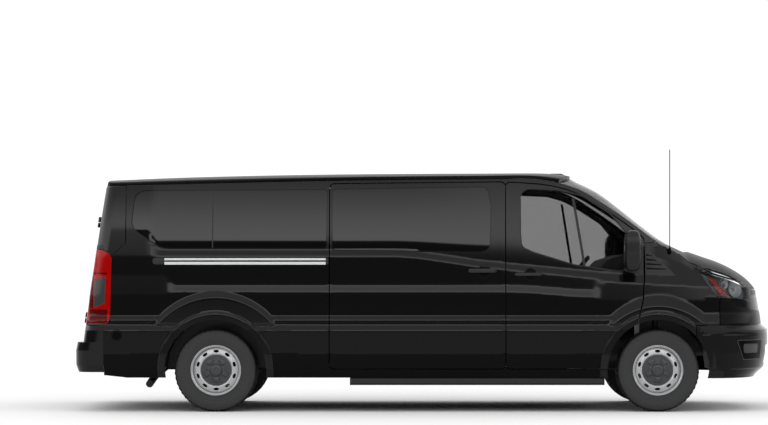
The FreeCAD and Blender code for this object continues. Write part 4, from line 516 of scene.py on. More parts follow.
def circle(x, z, radius, step=12.0):
    """Closed outline of a circle, with points about a step apart."""
    count = max(16, int(2 * math.pi * radius / step))
    turn = np.linspace(0, 2 * math.pi, count, endpoint=False)
    return np.stack([x + radius * np.cos(turn), z + radius * np.sin(turn)], -1)


def box2(x0, x1, z0, z1):
    """Closed outline of an upright rectangle."""
    return np.array([(x0, z0), (x1, z0), (x1, z1), (x0, z1)], float)


# meshes

def finish_object(name, mesh, body, mats, sharp=40):
    """Smooth shading, material and body for a new piece; edges bent by more than sharp stay crisp."""
    mesh.polygons.foreach_set("use_smooth", [True] * len(mesh.polygons))
    mesh.set_sharp_from_angle(angle=math.radians(sharp))
    made = bpy.data.objects.new(name, mesh)
    scene.collection.objects.link(made)
    mesh.materials.append(mats)
    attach(made, body)
    return made


def mirror_points(points):
    """The points on the other side of the vehicle."""
    return points * np.array([1, -1, 1])


# rows of points on circles round each wheel let the skins follow the arches; the even grid starts further out
RING_RADII = (436, 444, 455, 467, 478, 484, 488, 492, 496, 501, 508, 518, 530, 545, 560, 577, 594, 611, 628,
              645, 662, 676, 684, 690, 697, 708)
RING_STEP, RING_CLEAR, RING_END = 15, 5.0, 712


def close_to(points, others, reach):
    """Which points lie nearer than a reach, in x and z, to any of the others."""
    near = np.zeros(len(points), bool)
    for start in range(0, len(points), 1500):
        gaps = (points[start:start + 1500, None] - others[None]) / reach
        near[start:start + 1500] = ((gaps ** 2).sum(2) < 1).any(1)
    return near


def arch_rings(keep, rims):
    """Points on circles round the wheels, row by row, and the edges between neighbours."""
    rows, edges, count = [np.zeros((0, 2))], [], 0
    for axle, crest in ARCHES:
        radii = {crest - 7, crest, crest + 7} | {r for r in RING_RADII if abs(r - crest) > 9}
        for radius in sorted(radii):
            row = circle(axle, AXLE_Z, radius, RING_STEP)
            held = keep(row) & ~close_to(row, rims, np.array([RING_CLEAR, RING_CLEAR]))
            places = np.cumsum(held) - 1 + count
            linked = np.flatnonzero(held & np.roll(held, -1))
            edges += [(int(places[i]), int(places[(i + 1) % len(row)])) for i in linked]
            rows.append(row[held])
            count += int(held.sum())
    return np.vstack(rows), edges


def filled(loops, keep, grid):
    """Triangles over the area where keep holds, with the loops as edges and a grid of points inside."""
    rims = np.vstack(loops)
    low, high = rims.min(0), rims.max(0)
    xs, zs = np.arange(low[0] + 1, high[0], grid[0]), np.arange(low[1] + 1, high[1], grid[1])
    cloud = np.stack(np.meshgrid(xs, zs), -1).reshape(-1, 2)
    scale = np.array(grid, float)
    rings, ring_edges = arch_rings(keep, rims)
    if len(rings):
        for axle in (FRONT, REAR):
            cloud = cloud[np.hypot(cloud[:, 0] - axle, cloud[:, 1] - AXLE_Z) > RING_END]
    cloud = cloud[keep(cloud)]
    cloud = cloud[~close_to(cloud, rims, 0.4 * scale)]
    edges, count = [], 0
    for loop in loops:
        edges += [(count + i, count + (i + 1) % len(loop)) for i in range(len(loop))]
        count += len(loop)
    edges += [(a + count, b + count) for a, b in ring_edges]
    points = [Vector(p) for p in np.vstack([rims, rings, cloud]) / scale]
    verts, _, faces, *_ = delaunay_2d_cdt(points, edges, [], 0, 1e-6)
    flat = np.array([tuple(v) for v in verts]) * scale
    tris = np.array([f for f in faces if len(f) == 3])
    a, b, c = flat[tris[:, 0]], flat[tris[:, 1]], flat[tris[:, 2]]
    size = (b[:, 0] - a[:, 0]) * (c[:, 1] - a[:, 1]) - (b[:, 1] - a[:, 1]) * (c[:, 0] - a[:, 0])
    good = keep((a + b + c) / 3) & (np.abs(size) > 1e-3)
    tris, size = tris[good], size[good]
    tris[size < 0] = tris[size < 0][:, ::-1]
    used, tris = np.unique(tris, return_inverse=True)
    return flat[used], tris.reshape(-1, 3)


# depths of the loops that an edge is rolled over, how far apart the points for a normal lie, and how far from
# an edge the surface's own normals take over
ROLL_STEPS = (0.8, 2.6)
NORMAL_STEP = 1.5
SHADE_CLEAR = 1.5


def outward(surface, s, z):
    """Unit normals of a surface at its coordinates s and z."""
    along_s = surface(s + NORMAL_STEP, z) - surface(s - NORMAL_STEP, z)
    normal = np.cross(along_s, surface(s, z + NORMAL_STEP) - surface(s, z - NORMAL_STEP))
    return normal / np.linalg.norm(normal, axis=1)[:, None]


def split_materials(made, *zones):
    """Gives the faces whose corners all pass a test the material that goes with it."""
    mesh = made.data
    points = np.empty(3 * len(mesh.vertices))
    mesh.vertices.foreach_get("co", points)
    for test, second in zones:
        mesh.materials.append(second)
        passed = test(points.reshape(-1, 3) / MM)
        for face in mesh.polygons:
            if all(passed[v] for v in face.vertices):
                face.material_index = len(mesh.materials) - 1
    return made


def panel(name, surface, include, exclude=(), proud=2.5, thick=7.0, grid=(45, 15), body="body",
          slot="black_paint", mats=PAINT, left=False, roll=2.4):
    """A closed shell on a surface, over the area inside one outline and outside others, with rolled edges."""
    sets = [(dense(include), -1)] + [(dense(loop), 1) for loop in exclude]

    def keep(points):
        found = inside(points, sets[0][0])
        for loop, _ in sets[1:]:
            found &= ~inside(points, loop)
        return found

    loops = [loop for loop, _ in sets]
    if roll:
        loops += [grown(loop, way * step) for step in ROLL_STEPS for loop, way in sets]
    flat, tris = filled(loops, keep, grid)
    rim = rim_edges(tris, len(flat))
    tree = KDTree(len(rim))
    for i in rim[:, 0]:
        tree.insert((flat[i, 0], flat[i, 1], 0), int(i))
    tree.balance()
    away = np.array([tree.find((p[0], p[1], 0))[2] for p in flat])
    s, z = flat.T
    here, normal = surface(s, z), outward(surface, s, z)
    lift = proud - roll * np.clip(1 - away / ROLL_STEPS[-1], 0, 1) ** 2
    outer, inner = here + normal * lift[:, None], here + normal * (proud - thick)
    made = shell(name, outer, inner, tris, body, mats, left)
    shade_like_surface(made.data, np.where(away[:, None] > SHADE_CLEAR, normal, 0.0), tris, left)
    return made


def shade_like_surface(mesh, normals, tris, left):
    """Gives the outer triangles the surface's own normals; a zero leaves Blender's, at the rolled edges."""
    own = np.zeros((len(mesh.loops), 3))
    if left:
        normals, tris = mirror_points(normals), tris[:, ::-1]
    own[:3 * len(tris)] = normals[tris.ravel()]
    mesh.normals_split_custom_set(own.tolist())


def rim_edges(tris, count):
    """Directed edges of the triangles that no other triangle shares."""
    pairs = np.vstack([tris[:, [0, 1]], tris[:, [1, 2]], tris[:, [2, 0]]])
    ahead, back = pairs[:, 0] * count + pairs[:, 1], pairs[:, 1] * count + pairs[:, 0]
    return pairs[~np.isin(ahead, back)]


def shell(name, outer, inner, tris, body, mats, left=False):
    """A closed shell from matching outer and inner points and the outer triangles."""
    n = len(outer)
    rim = rim_edges(tris, n)
    walls = np.stack([rim[:, 1], rim[:, 0], rim[:, 0] + n, rim[:, 1] + n], -1)
    points = np.vstack([outer, inner])
    if left:
        points = mirror_points(points)
    faces = [list(t) for t in tris] + [list(t) for t in (tris + n)[:, ::-1]] + [list(w) for w in walls]
    if left:
        faces = [f[::-1] for f in faces]
    mesh = bpy.data.meshes.new(name)
    mesh.from_pydata((points * MM).tolist(), [], faces)
    mesh.validate()
    return finish_object(name, mesh, body, mats)


def skinned(name, rings, body, mats, closed=False, sharp=40, left=False):
    """A closed mesh over rings of points; the first and last rings are filled unless the rings close."""
    rings = np.array(rings, float)
    n, m = rings.shape[:2]
    points = rings.reshape(-1, 3)
    if left:
        points = mirror_points(points)
    faces = [[i * m + k, i * m + (k + 1) % m, (i + 1) % n * m + (k + 1) % m, (i + 1) % n * m + k]
             for i in range(n if closed else n - 1) for k in range(m)]
    if not closed:
        faces += [list(range(m)), [(n - 1) * m + k for k in range(m)]]
    mesh = bpy.data.meshes.new(name)
    mesh.from_pydata((points * MM).tolist(), [], faces)
    bm = bmesh.new()
    bm.from_mesh(mesh)
    bmesh.ops.remove_doubles(bm, verts=bm.verts, dist=2e-6)
    bmesh.ops.dissolve_degenerate(bm, edges=bm.edges, dist=1e-7)
    bmesh.ops.recalc_face_normals(bm, faces=bm.faces)
    bm.to_mesh(mesh)
    bm.free()
    return finish_object(name, mesh, body, mats, sharp)


def ribbon(name, surface, loop, top, low, wall, body, mats, left=False):
    """A closed thin wall that follows an outline on a surface, from one depth to another."""
    inner = grown(loop, -wall)

    def at(points, proud):
        s, z = points.T
        return surface(s, z) + proud * outward(surface, s, z)

    rings = [at(loop, top), at(loop, low), at(inner, low), at(inner, top)]
    return skinned(name, rings, body, mats, True, left=left)


# outlines seen from the side, the same as the solids'
slide_door = rounded([
    (SLIDE_REAR, SILL_Z), (DOOR_LINE, SILL_Z), (DOOR_LINE, gutter(DOOR_LINE) - 24),
    (SLIDE_REAR, gutter(SLIDE_REAR) - 24)], 40)


def gutter_points(x0, x1, count, drop):
    """Points a drop below the roof's gutter, square to it."""
    points = []
    for x in np.linspace(x0, x1, count):
        slope = (gutter(x + 5) - gutter(x - 5)) / 10
        length = math.hypot(slope, 1)
        points.append((x + drop * slope / length, gutter(x) - drop / length))
    return points


front_door = rounded(
    [(DOOR_LINE, SILL_Z), (FRONT - 300, SILL_Z), (FRONT - 173, 560), (FRONT - 173, 762, 200),
     (FRONT - 128, 960, 200), (DOOR_FRONT, 1140, 200), (DOOR_FRONT, 1468, 25)]
    + [(x, z, 500) for x, z in reversed(gutter_points(FRONT - 1000, FRONT - 150, 8, 34))]
    + [(DOOR_LINE, gutter(DOOR_LINE) - 24)], 40)
WINDOW_TOP, WINDOW_LOW = ROOF - 143, 1372
slide_window = rounded([
    (SLIDE_REAR + 25, WINDOW_LOW, 20), (FRONT - 1500, WINDOW_LOW - 18, 60),
    (FRONT - 1425, WINDOW_LOW + 10, 60), (FRONT - 1418, WINDOW_TOP - 150, 200),
    (FRONT - 1445, WINDOW_TOP, 60), (SLIDE_REAR + 25, WINDOW_TOP - 22, 20)])
rear_window = rounded([
    (REAR - 614, WINDOW_TOP - 33, 50), (REAR - 680, WINDOW_TOP - 67, 50), (REAR - 695, 1769, 60),
    (REAR - 711, 1595, 60), (REAR - 679, 1531, 60), (REAR - 559, 1454, 60), (REAR - 478, 1401, 60),
    (REAR - 408, WINDOW_LOW + 14, 60), (SLIDE_REAR - 25, WINDOW_LOW + 14, 20),
    (SLIDE_REAR - 25, WINDOW_TOP - 24, 20)])
front_window = rounded([
    (FRONT - 1165, 1500, 200), (FRONT - 1155, 1400, 60), (FRONT - 1060, 1355, 100), (FRONT - 700, 1245, 400),
    (FRONT - 290, 1188, 60), (FRONT - 225, 1330, 60), (FRONT - 222, ROOF - 590, 40),
    (FRONT - 400, ROOF - 370, 200), (FRONT - 640, ROOF - 215, 200), (FRONT - 850, ROOF - 165, 200),
    (FRONT - 1110, ROOF - 155, 60), (FRONT - 1165, ROOF - 200, 60)])
LAMP_LOW, LAMP_TOP, BUMPER_SEAM = 749, 1372, REAR - 944
lamp_outline = rounded([
    (REAR - 1075, LAMP_LOW), (REAR - 914, LAMP_LOW, 20), (REAR - 892, LAMP_LOW + 40, 40),
    (REAR - 881, 1300, 60), (REAR - 905, 1348, 60), (REAR - 962, LAMP_TOP), (REAR - 1075, LAMP_TOP)])


def round_rear(outline, step=10):
    """A side-view outline mapped round the rear corner."""
    points = dense(outline, step)
    return np.stack([s_from_x(points[:, 0], points[:, 1]), points[:, 1]], -1)


# the outer skins of the body

# the gap between a pane and the panel round it
GLASS_GAP = 4.0


def rear_s(x, z):
    """s_from_x for one point."""
    return float(s_from_x(np.array([float(x)]), np.array([float(z)]))[0])


def rear_y(y, z):
    """s_from_y for one point."""
    return float(s_from_y(np.array([float(y)]), np.array([float(z)]))[0])


lamp_s = round_rear(lamp_outline)
# the seam between side and rear corner, and the outlines of the fixed side and of the corner
seam = [(SIDE_REAR, ROOF - 620)] + [(rear_s(x, z), z) for x, z in (
    (REAR - 868, ROOF - 714), (REAR - 880, LAMP_TOP - 40), (REAR - 890, LAMP_LOW), (BUMPER_SEAM, LAMP_LOW),
    (BUMPER_SEAM, 312))]
side_top = [(x, gutter(x) - 2) for x in np.linspace(FRONT - 14, SIDE_REAR + 60, 60)]
frame_loop = np.array(
    [(SIDE_REAR + 1, gutter(SIDE_REAR) - 2)] + seam
    + [(SIDE_REAR, 292), (FRONT - 250, 292), (FRONT - 250, PILLAR_BASE), (FRONT - 14, PILLAR_BASE + 8)]
    + side_top)
corner_loop = np.array(
    [(SIDE_REAR - 6, gutter(SIDE_REAR) - 2), (SIDE_REAR - 6, ROOF - 622)] + [(s - 6, z) for s, z in seam[1:4]]
    + [(rear_s(REAR - 1070, z), z) for z in (LAMP_LOW + 30, 741)]
    + [(rear_y(-783.5, z), z) for z in (741, 900, 1100, 1300, 1500, 1700, 1900)])
ARCH_RADIUS = 430
arches = [circle(axle, AXLE_Z, ARCH_RADIUS) for axle in (FRONT, REAR)]
slide_hole, front_hole = grown(dense(slide_door), HALF_GAP), grown(dense(front_door), HALF_GAP)
rear_hole, slide_glass_hole, front_glass_hole = [
    grown(dense(loop), GLASS_GAP) for loop in (rear_window, slide_window, front_window)]
# centres of the dishes behind the handles, their radius and the gap round them
FRONT_DISH, SLIDE_DISH, DISH_RADIUS, DISH_GAP = (885.2, 1167.5), (495.8, 1193), 50, 3
DARK_PANE = {"proud": 4.5, "thick": 5, "slot": "dark_glass", "mats": DARK_GLASS}
# the cladding's upper face, the top of its lower one, which is laid over it, and the end of the arches' lips
CLAD_FACE, LOW_FACE_TOP, LIP_END = (485, 700), 503, 491


def low_zone(points):
    """Below the crease of the cladding, and clear of the arches' lips."""
    reach = np.minimum(*[np.hypot(points[:, 0] - axle, points[:, 2] - AXLE_Z) for axle in (FRONT, REAR)])
    return (points[:, 2] < LOW_FACE_TOP) & (reach > LIP_END)


def high_zone(points):
    """The face of the cladding between its two creases."""
    return (points[:, 2] > CLAD_FACE[0]) & (points[:, 2] < CLAD_FACE[1])


# the cladding's lower face takes the darker copy of the paint: painted shade
CLADDING = ((high_zone, CLAD_PAINT), (low_zone, SHADED_LOW_PAINT))


def body_side(side, left):
    """Fixed side, front door with its pane, rear quarter pane, rear corner and tail lamp of one side."""
    door = f"front_door_{side}"
    middle_hole = slide_glass_hole if left else slide_hole
    made = panel(f"side_skin_{side}", side_point, frame_loop,
                 [front_hole, rear_hole, middle_hole] + arches + [grown(lamp_s, 2)], left=left)
    split_materials(made, *CLADDING)
    dish = circle(*FRONT_DISH, DISH_RADIUS + DISH_GAP, 7)
    made = panel(f"front_door_skin_{side}", side_point, grown(dense(front_door), -HALF_GAP),
                 [front_glass_hole, arches[0], dish], body=door, left=left)
    split_materials(made, *CLADDING)
    ribbon(f"front_window_seal_{side}", side_point, grown(dense(front_window), 7), 1.2, -14, 11, door,
           MOULDING, left)
    panel(f"rear_quarter_glass_{side}", side_point, rear_window, grid=(22, 12), left=left, **DARK_PANE)
    pane = panel(f"front_door_pane_{side}", side_point, front_window, proud=1.0, thick=4, slot="clear_glass",
                 mats=CLEAR_GLASS, body=door, left=left)
    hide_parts(f"front_door_glass_{side}")
    panel(f"rear_corner_skin_{side}", side_point, corner_loop, [grown(lamp_s, 2)], grid=(30, 25), left=left)
    panel(f"tail_lamp_lens_{side}", side_point, lamp_s, proud=5.5, thick=9, grid=(20, 20),
          slot="tail_lamp_plastic", mats=RED_LENS, left=left)


for side, left in SIDES:
    body_side(side, left)
made = panel("sliding_door_skin", side_point, grown(dense(slide_door), -HALF_GAP),
             [slide_glass_hole, arches[1], circle(*SLIDE_DISH, DISH_RADIUS + DISH_GAP, 7)])
split_materials(made, *CLADDING)
panel("sliding_door_pane", side_point, slide_window, **DARK_PANE)
panel("left_middle_pane", side_point, slide_window, left=True, **DARK_PANE)


def hood_edge_z(s):
    """Height at which the nose meets the hood, found by halving."""
    low, high = np.full_like(s, 900.0), np.full_like(s, 1500.0)
    for _ in range(40):
        middle = (low + high) / 2
        here = front_point(s, middle)
        below = hood_height(here[:, 0], here[:, 1]) > middle
        low, high = np.where(below, middle, low), np.where(below, high, middle)
    return low


# the nose's edge against the hood, on the skin and as points
edge_s = np.concatenate([
    np.linspace(HOOD_REAR_SIDE, NOSE_START, 20), NOSE_START + np.linspace(0, 1, 60)[1:] * NOSE_LENGTH])
edge_z = hood_edge_z(edge_s)
edge_xyz = front_point(edge_s, edge_z)


def s_at(x, z):
    """front_s for one point seen from the side."""
    return float(front_s(np.array([float(x)]), np.array([float(z)]), 0)[0])


def round_nose(points):
    """Points seen from the side, as (x, z), mapped round the nose."""
    return np.stack([front_s(points[:, 0], points[:, 1], 0), points[:, 1]], -1)


headlamp_outline = rounded([
    (FRONT + 290, 1238, 30), (FRONT + 425, 1222, 100), (FRONT + 559, 1178, 200), (FRONT + 662, 1134, 200),
    (FRONT + 727, 1097, 100), (FRONT + 812, 1066, 20), (FRONT + 806, 932, 20), (FRONT + 728, 954, 80),
    (FRONT + 491, 976, 40), (FRONT + 415, 1081, 100), (FRONT + 347, 1179, 100)])
headlamp_s = round_nose(dense(headlamp_outline, 9))
# the seam between fender and fascia, from the bumper's top up to the headlamp
CLAD_TOP, SEAM_TOP = 739, 1130
seam_s = [(s_at(FRONT + 520, z), z) for z in np.linspace(CLAD_TOP, 1200, 14)]
seam_low = [(s, z) for s, z in seam_s if z < SEAM_TOP]
fender_top = [(s, z - 5) for s, z in zip(edge_s, edge_z) if s < seam_s[-1][0] - 4]
fender_loop = np.array(
    [(FENDER_REAR, 1140), (FRONT - 121, 960), (FRONT - 166, 762), (FRONT - 166, 600), (FRONT + 316, 600),
     (FRONT + 316, CLAD_TOP)]
    + [(s - HALF_GAP, z) for s, z in seam_low] + fender_top[::-1]
    + [(x, float(fender_crest(x)) - 1) for x in np.linspace(HOOD_REAR_SIDE - 25, FENDER_REAR, 12)])
for side, left in SIDES:
    panel(f"fender_skin_{side}", front_point, fender_loop, [arches[0], grown(headlamp_s, 2)], grid=(25, 15),
          left=left)
    panel(f"headlamp_cover_{side}", front_point, headlamp_s, proud=4.5, thick=4, grid=(20, 15),
          slot="headlamp_plastic", mats=LAMP_COVER, left=left)


def nose_surface(t, z):
    """The nose as one surface: t runs from the right-hand side through 0 on the centre plane."""
    here = front_point(TIP - np.abs(t), z)
    return here * np.stack([np.ones_like(t), np.where(t < 0, 1.0, -1.0), np.ones_like(t)], -1)


def both_ways(points):
    """A right-hand half outline, from bottom centre round to top centre, closed by its mirror image."""
    right = [(s - TIP, z) for s, z in points]
    return np.array(right + [(-t, z) for t, z in reversed(right)])


def mirrored_loop(loop):
    """A loop of the front skin on the nose's left and right halves."""
    return np.stack([TIP - loop[:, 0], loop[:, 1]], -1), np.stack([loop[:, 0] - TIP, loop[:, 1]], -1)


def across_nose(points):
    """Points seen from ahead, as (y, z), mapped on the nose."""
    y, z = points.T
    sides = front_s(-np.abs(y), z, 1)
    return np.stack([np.where(y < 0, sides - TIP, TIP - sides), z], -1)


lamp_left, lamp_right = mirrored_loop(grown(headlamp_s, 2))
arch_left, arch_right = mirrored_loop(arches[0])
front_top = [(s, z - 5) for s, z in zip(edge_s, edge_z) if s > seam_s[-1][0]]
grille_t = across_nose(dense(rounded([(-470, 1010), (-400, 790), (400, 790), (470, 1010)], 30), 12))
fascia_loop = both_ways([(TIP - 1, CLAD_TOP)] + [(s + HALF_GAP, z) for s, z in seam_low] + front_top[:-1]
                        + [(TIP - 1, front_top[-1][1])])
# the fascia takes the darker lower paint with hardly any reflection: painted shade on the nose
panel("fascia_skin", nose_surface, fascia_loop, [lamp_left, lamp_right, grown(grille_t, 3)], grid=(25, 15),
      proud=1.5, mats=SHADED_LOW_PAINT)
BUMPER_REAR, BUMPER_LOW, BUMPER_TOP = FRONT + 323, 284, 733
bumper_loop = both_ways([(TIP - 1, BUMPER_LOW), (BUMPER_REAR, BUMPER_LOW), (BUMPER_REAR, BUMPER_TOP),
                         (TIP - 1, BUMPER_TOP)])
intake_t = across_nose(dense(rounded([(-620, 560), (-560, 400), (560, 400), (620, 560)], 40), 12))
panel("front_bumper_skin", nose_surface, bumper_loop, [grown(intake_t, 2), arch_left, arch_right],
      grid=(25, 12), proud=-0.3, mats=CLAD_PAINT)


def hood_surface(x, y):
    """The hood, laid out from above."""
    return np.stack([x, y, hood_height(x, y)], -1)


hood_rear = [(HOOD_REAR_CENTRE - (HOOD_REAR_CENTRE - HOOD_REAR_SIDE) * k * k + HALF_GAP,
              -k * float(hood_side_half(HOOD_REAR_SIDE))) for k in np.linspace(0, 1, 12)]
hood_side = [(p[0], p[1] + HALF_GAP) for p in edge_xyz[1:20]]
hood_front = [(p[0] - HALF_GAP, p[1] + 2) for p in edge_xyz[20:-1]] + [(edge_xyz[-1][0] - HALF_GAP, 0.0)]
half_loop = hood_rear + hood_side + hood_front
hood_loop = np.array(half_loop + [(x, -y) for x, y in reversed(half_loop[1:-1])])
# the hood takes the roof's paint with its reflection cut: painted shade
hood = panel("hood_skin", hood_surface, hood_loop, grid=(30, 30), body="hood", proud=1.0, mats=SHADED_ROOF_PAINT)
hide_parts("hood")


# shared shapes for the details

def turned(name, rows, origin, body, mats, axis=(0, -1, 0), sides=96, closed=False, sharp=40,
           left=False, shape=None):
    """A shape turned about an axis; rows are (radius, distance along the axis)."""
    axis = np.array(axis, float) / np.linalg.norm(axis)
    first = np.array([1.0, 0, 0]) - axis * axis[0]
    first /= np.linalg.norm(first)
    second = np.cross(axis, first)
    turns = np.linspace(0, 2 * math.pi, sides, endpoint=False)
    rows = np.array(rows, float)
    radius, along_axis = np.repeat(rows[:, :1], sides, 1), np.repeat(rows[:, 1:], sides, 1)
    if shape:
        radius, along_axis = shape(radius, along_axis, turns)
    rings = (np.array(origin, float) + axis * along_axis[..., None]
             + radius[..., None] * (np.cos(turns)[:, None] * first + np.sin(turns)[:, None] * second))
    return skinned(name, rings, body, mats, closed, sharp, left)


def squircle(a, b, power=4, count=32):
    """Outline of a superellipse of half sizes a and b."""
    turn = np.linspace(0, 2 * math.pi, count, endpoint=False)
    c, s = np.cos(turn), np.sin(turn)
    across, up = np.sign(c) * np.abs(c) ** (2 / power), np.sign(s) * np.abs(s) ** (2 / power)
    return np.stack([a * across, b * up], -1)


def swept(path, section, scales=None):
    """Rings of a section (across, up) carried along a path."""
    path = np.array(path, float)
    ahead = np.gradient(path, axis=0)
    ahead /= np.linalg.norm(ahead, axis=1)[:, None]
    across = np.cross(ahead, np.array([0.0, 0.0, 1.0]))
    across /= np.linalg.norm(across, axis=1)[:, None]
    rise = np.cross(across, ahead)
    scales = np.ones(len(path)) if scales is None else scales
    return [p + k * (section[:, :1] * a + section[:, 1:] * r)
            for p, a, r, k in zip(path, across, rise, scales)]


def rounded_block(centre, half, power=4, steps=20, sides=44, lean=0.0, crown=None):
    """Rings of a rounded block stacked along Z, leaning by an angle about Y through its centre."""
    turn = np.linspace(-math.pi / 2, math.pi / 2, steps)
    rings = []
    for t in turn:
        up = math.copysign(abs(math.sin(t)) ** (2 / power), math.sin(t))
        ring = squircle(half[0], half[1], power, sides) * max(abs(math.cos(t)) ** (2 / power), 1e-4)
        height = np.full(len(ring), up * half[2])
        if crown:
            height = height + crown(ring[:, 0] / half[0], ring[:, 1] / half[1], up)
        x, z = ring[:, 0], height
        rings.append(np.stack([centre[0] + x * math.cos(lean) - z * math.sin(lean), centre[1] + ring[:, 1],
                               centre[2] + x * math.sin(lean) + z * math.cos(lean)], -1))
    return rings


def surface_y(x, z):
    """Y of the right-hand side at a place seen from the side."""
    return float(side_point(np.array([float(x)]), np.array([float(z)]))[0][1])


# wheels: steel disc with oval holes, rim, lobed cap and tyre

# Y of the plane that the wheels' depths are measured from, the disc's radius, the circle of its holes, the
# tyre's width, and where the tread begins
WHEEL_BASE_Y = -748.5
DISC_RADIUS, HOLE_CIRCLE, TYRE_WIDTH, TREAD_EDGE = 195.7, 162, 235, 334


def disc_depth(r):
    """How far the disc's outer face stands out at a radius."""
    return np.interp(r, [0, 118, 132, 138, 143, 148, 154, 162, 172, 184, 191, 196],
                     [171, 171, 173, 177.5, 179.8, 179.3, 177, 176, 174.5, 171.5, 168.5, 164])


def cap_shape(radius, depth, turns):
    """Five lugs stand between the dome and the rim of the cap."""
    lugs = smoothstep((np.cos(5 * turns + math.pi / 2) + 0.25) / 0.5)
    zone = smoothstep((radius - 58) / 10) * smoothstep((112 - radius) / 10)
    return radius, depth - 9 * (1 - lugs) * zone


def tread_shape(radius, depth, turns):
    """Notches 6.5 deep across both shoulders of the tread, two steps in every five."""
    sector = np.arange(len(turns)) % 5 < 2
    notch = sector[None, :] & (np.abs(depth - TYRE_WIDTH / 2) > 52) & (radius > TREAD_EDGE)
    return radius - np.where(notch, 6.5, 0), depth


def both_walls(rows):
    """Rows of (radius, depth) up to the tyre's middle, and back down its other half."""
    return rows + [(r, TYRE_WIDTH - d) for r, d in reversed(rows)]


SIDEWALL = [(203.2, 211.5), (211, 213), (219, 214.5), (222, 218), (227, 219.3), (229, 217.8), (240, 221.5),
            (254, 226.6), (256, 225.8), (270, 230.3), (285, 233.2), (299, 233.6), (301, 232.2), (304, 232.2),
            (306, 233), (317, 231.2), (326, 228.4), (334.5, 223.8), (337, 222), (343, 214), (347.6, 206),
            (350, 200), (351.5, 193), (352, 186)]
TREAD = [(352, 174), (351.5, 171), (345, 170), (345, 164), (351.5, 163), (352, 160), (352, 143), (351.5, 141),
         (345, 140), (345, 133), (351.5, 132), (352, 130)]
TYRE_ROWS = both_walls(SIDEWALL + TREAD)
RIM_ROWS = [(DISC_RADIUS, 162), (195.5, 199), (198, 205), (204, 208), (209, 211.5), (212.5, 213),
            (214, 215.3), (213, 217.6), (209, 217.8), (206, 214), (202.8, 211.4), (202.8, 24), (214, 22),
            (214, 17.2), (DISC_RADIUS, 17.2), (195.6, 150)]
HUB_ROWS = [(0, 131.6), (85, 131.6), (124, 158), (124, 163), (0, 163)]
CAP_ROWS = [(0, 168), (124, 168), (130, 170), (131.5, 174), (130, 178.5), (126, 180), (120, 180.5),
            (116, 179), (112, 180), (106, 186), (100, 189), (88, 191), (76, 191.5), (66, 190), (60, 187),
            (56, 187), (53, 191), (50, 197), (44, 200.5), (34, 202.2), (20, 202.4), (10, 201.4), (0, 201.2)]


def oval_holes():
    """The ten oval holes of a disc, about its centre."""
    oval = squircle(11.5, 21.5, 2.3, 36)
    holes = []
    for k in range(10):
        turn = math.radians(36 * k + 18)
        out = np.array([math.cos(turn), math.sin(turn)])
        holes.append(oval[:, :1] * out + oval[:, 1:] * np.array([-out[1], out[0]]) + HOLE_CIRCLE * out)
    return holes


def wheel(end, axle, side, left):
    """Disc, rim, hub, cap and tyre of one wheel."""
    def disc_surface(x, z):
        return np.stack([x + axle, WHEEL_BASE_Y - disc_depth(np.hypot(x, z)), z + AXLE_Z], -1)

    def on_tread(points):
        return np.hypot(points[:, 0] - axle, points[:, 2] - AXLE_Z) > TREAD_EDGE

    body, centre = f"wheel_{end}_{side}", (axle, WHEEL_BASE_Y, AXLE_Z)
    disc = panel(f"wheel_disc_{end}_{side}", disc_surface, circle(0, 0, DISC_RADIUS, 6), oval_holes(),
                 proud=0, thick=8, grid=(9, 9), body=body, slot="wheel_steel", mats=WHEEL_PAINT, left=left,
                 roll=2.2)
    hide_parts(f"wheel_{end}_{side}")
    turned(f"wheel_rim_{end}_{side}", RIM_ROWS, centre, body, WHEEL_PAINT, sides=120,
           closed=True, left=left)
    turned(f"wheel_hub_{end}_{side}", HUB_ROWS, centre, body, WHEEL_PAINT, left=left)
    turned(f"wheel_cap_{end}_{side}", CAP_ROWS, centre, body, CAP_PLASTIC, sides=120,
           left=left, shape=cap_shape)
    tyre = turned(f"road_tyre_{end}_{side}", TYRE_ROWS, centre, body, RUBBER, sides=240,
                  closed=True, left=left, shape=tread_shape, sharp=28)
    split_materials(tyre, (on_tread, TREAD_RUBBER))
    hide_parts(f"tyre_{end}_{side}")


for end, axle in (("front", FRONT), ("rear", REAR)):
    for side, left in SIDES:
        wheel(end, axle, side, left)

# outside fittings

MIRROR_X, MIRROR_Y, MIRROR_Z = 1737.0, -1149.0, 1363.5
MIRROR_GROOVE_Z = 1403
SAIL_FRONT = DOOR_FRONT - HALF_GAP - 2


def mirror_ring(x, half, scale=1.0):
    """An upright ring of the mirror's glass or frame."""
    return [(x, MIRROR_Y + y * scale, MIRROR_Z + z * scale) for y, z in squircle(*half, 5, 48)]


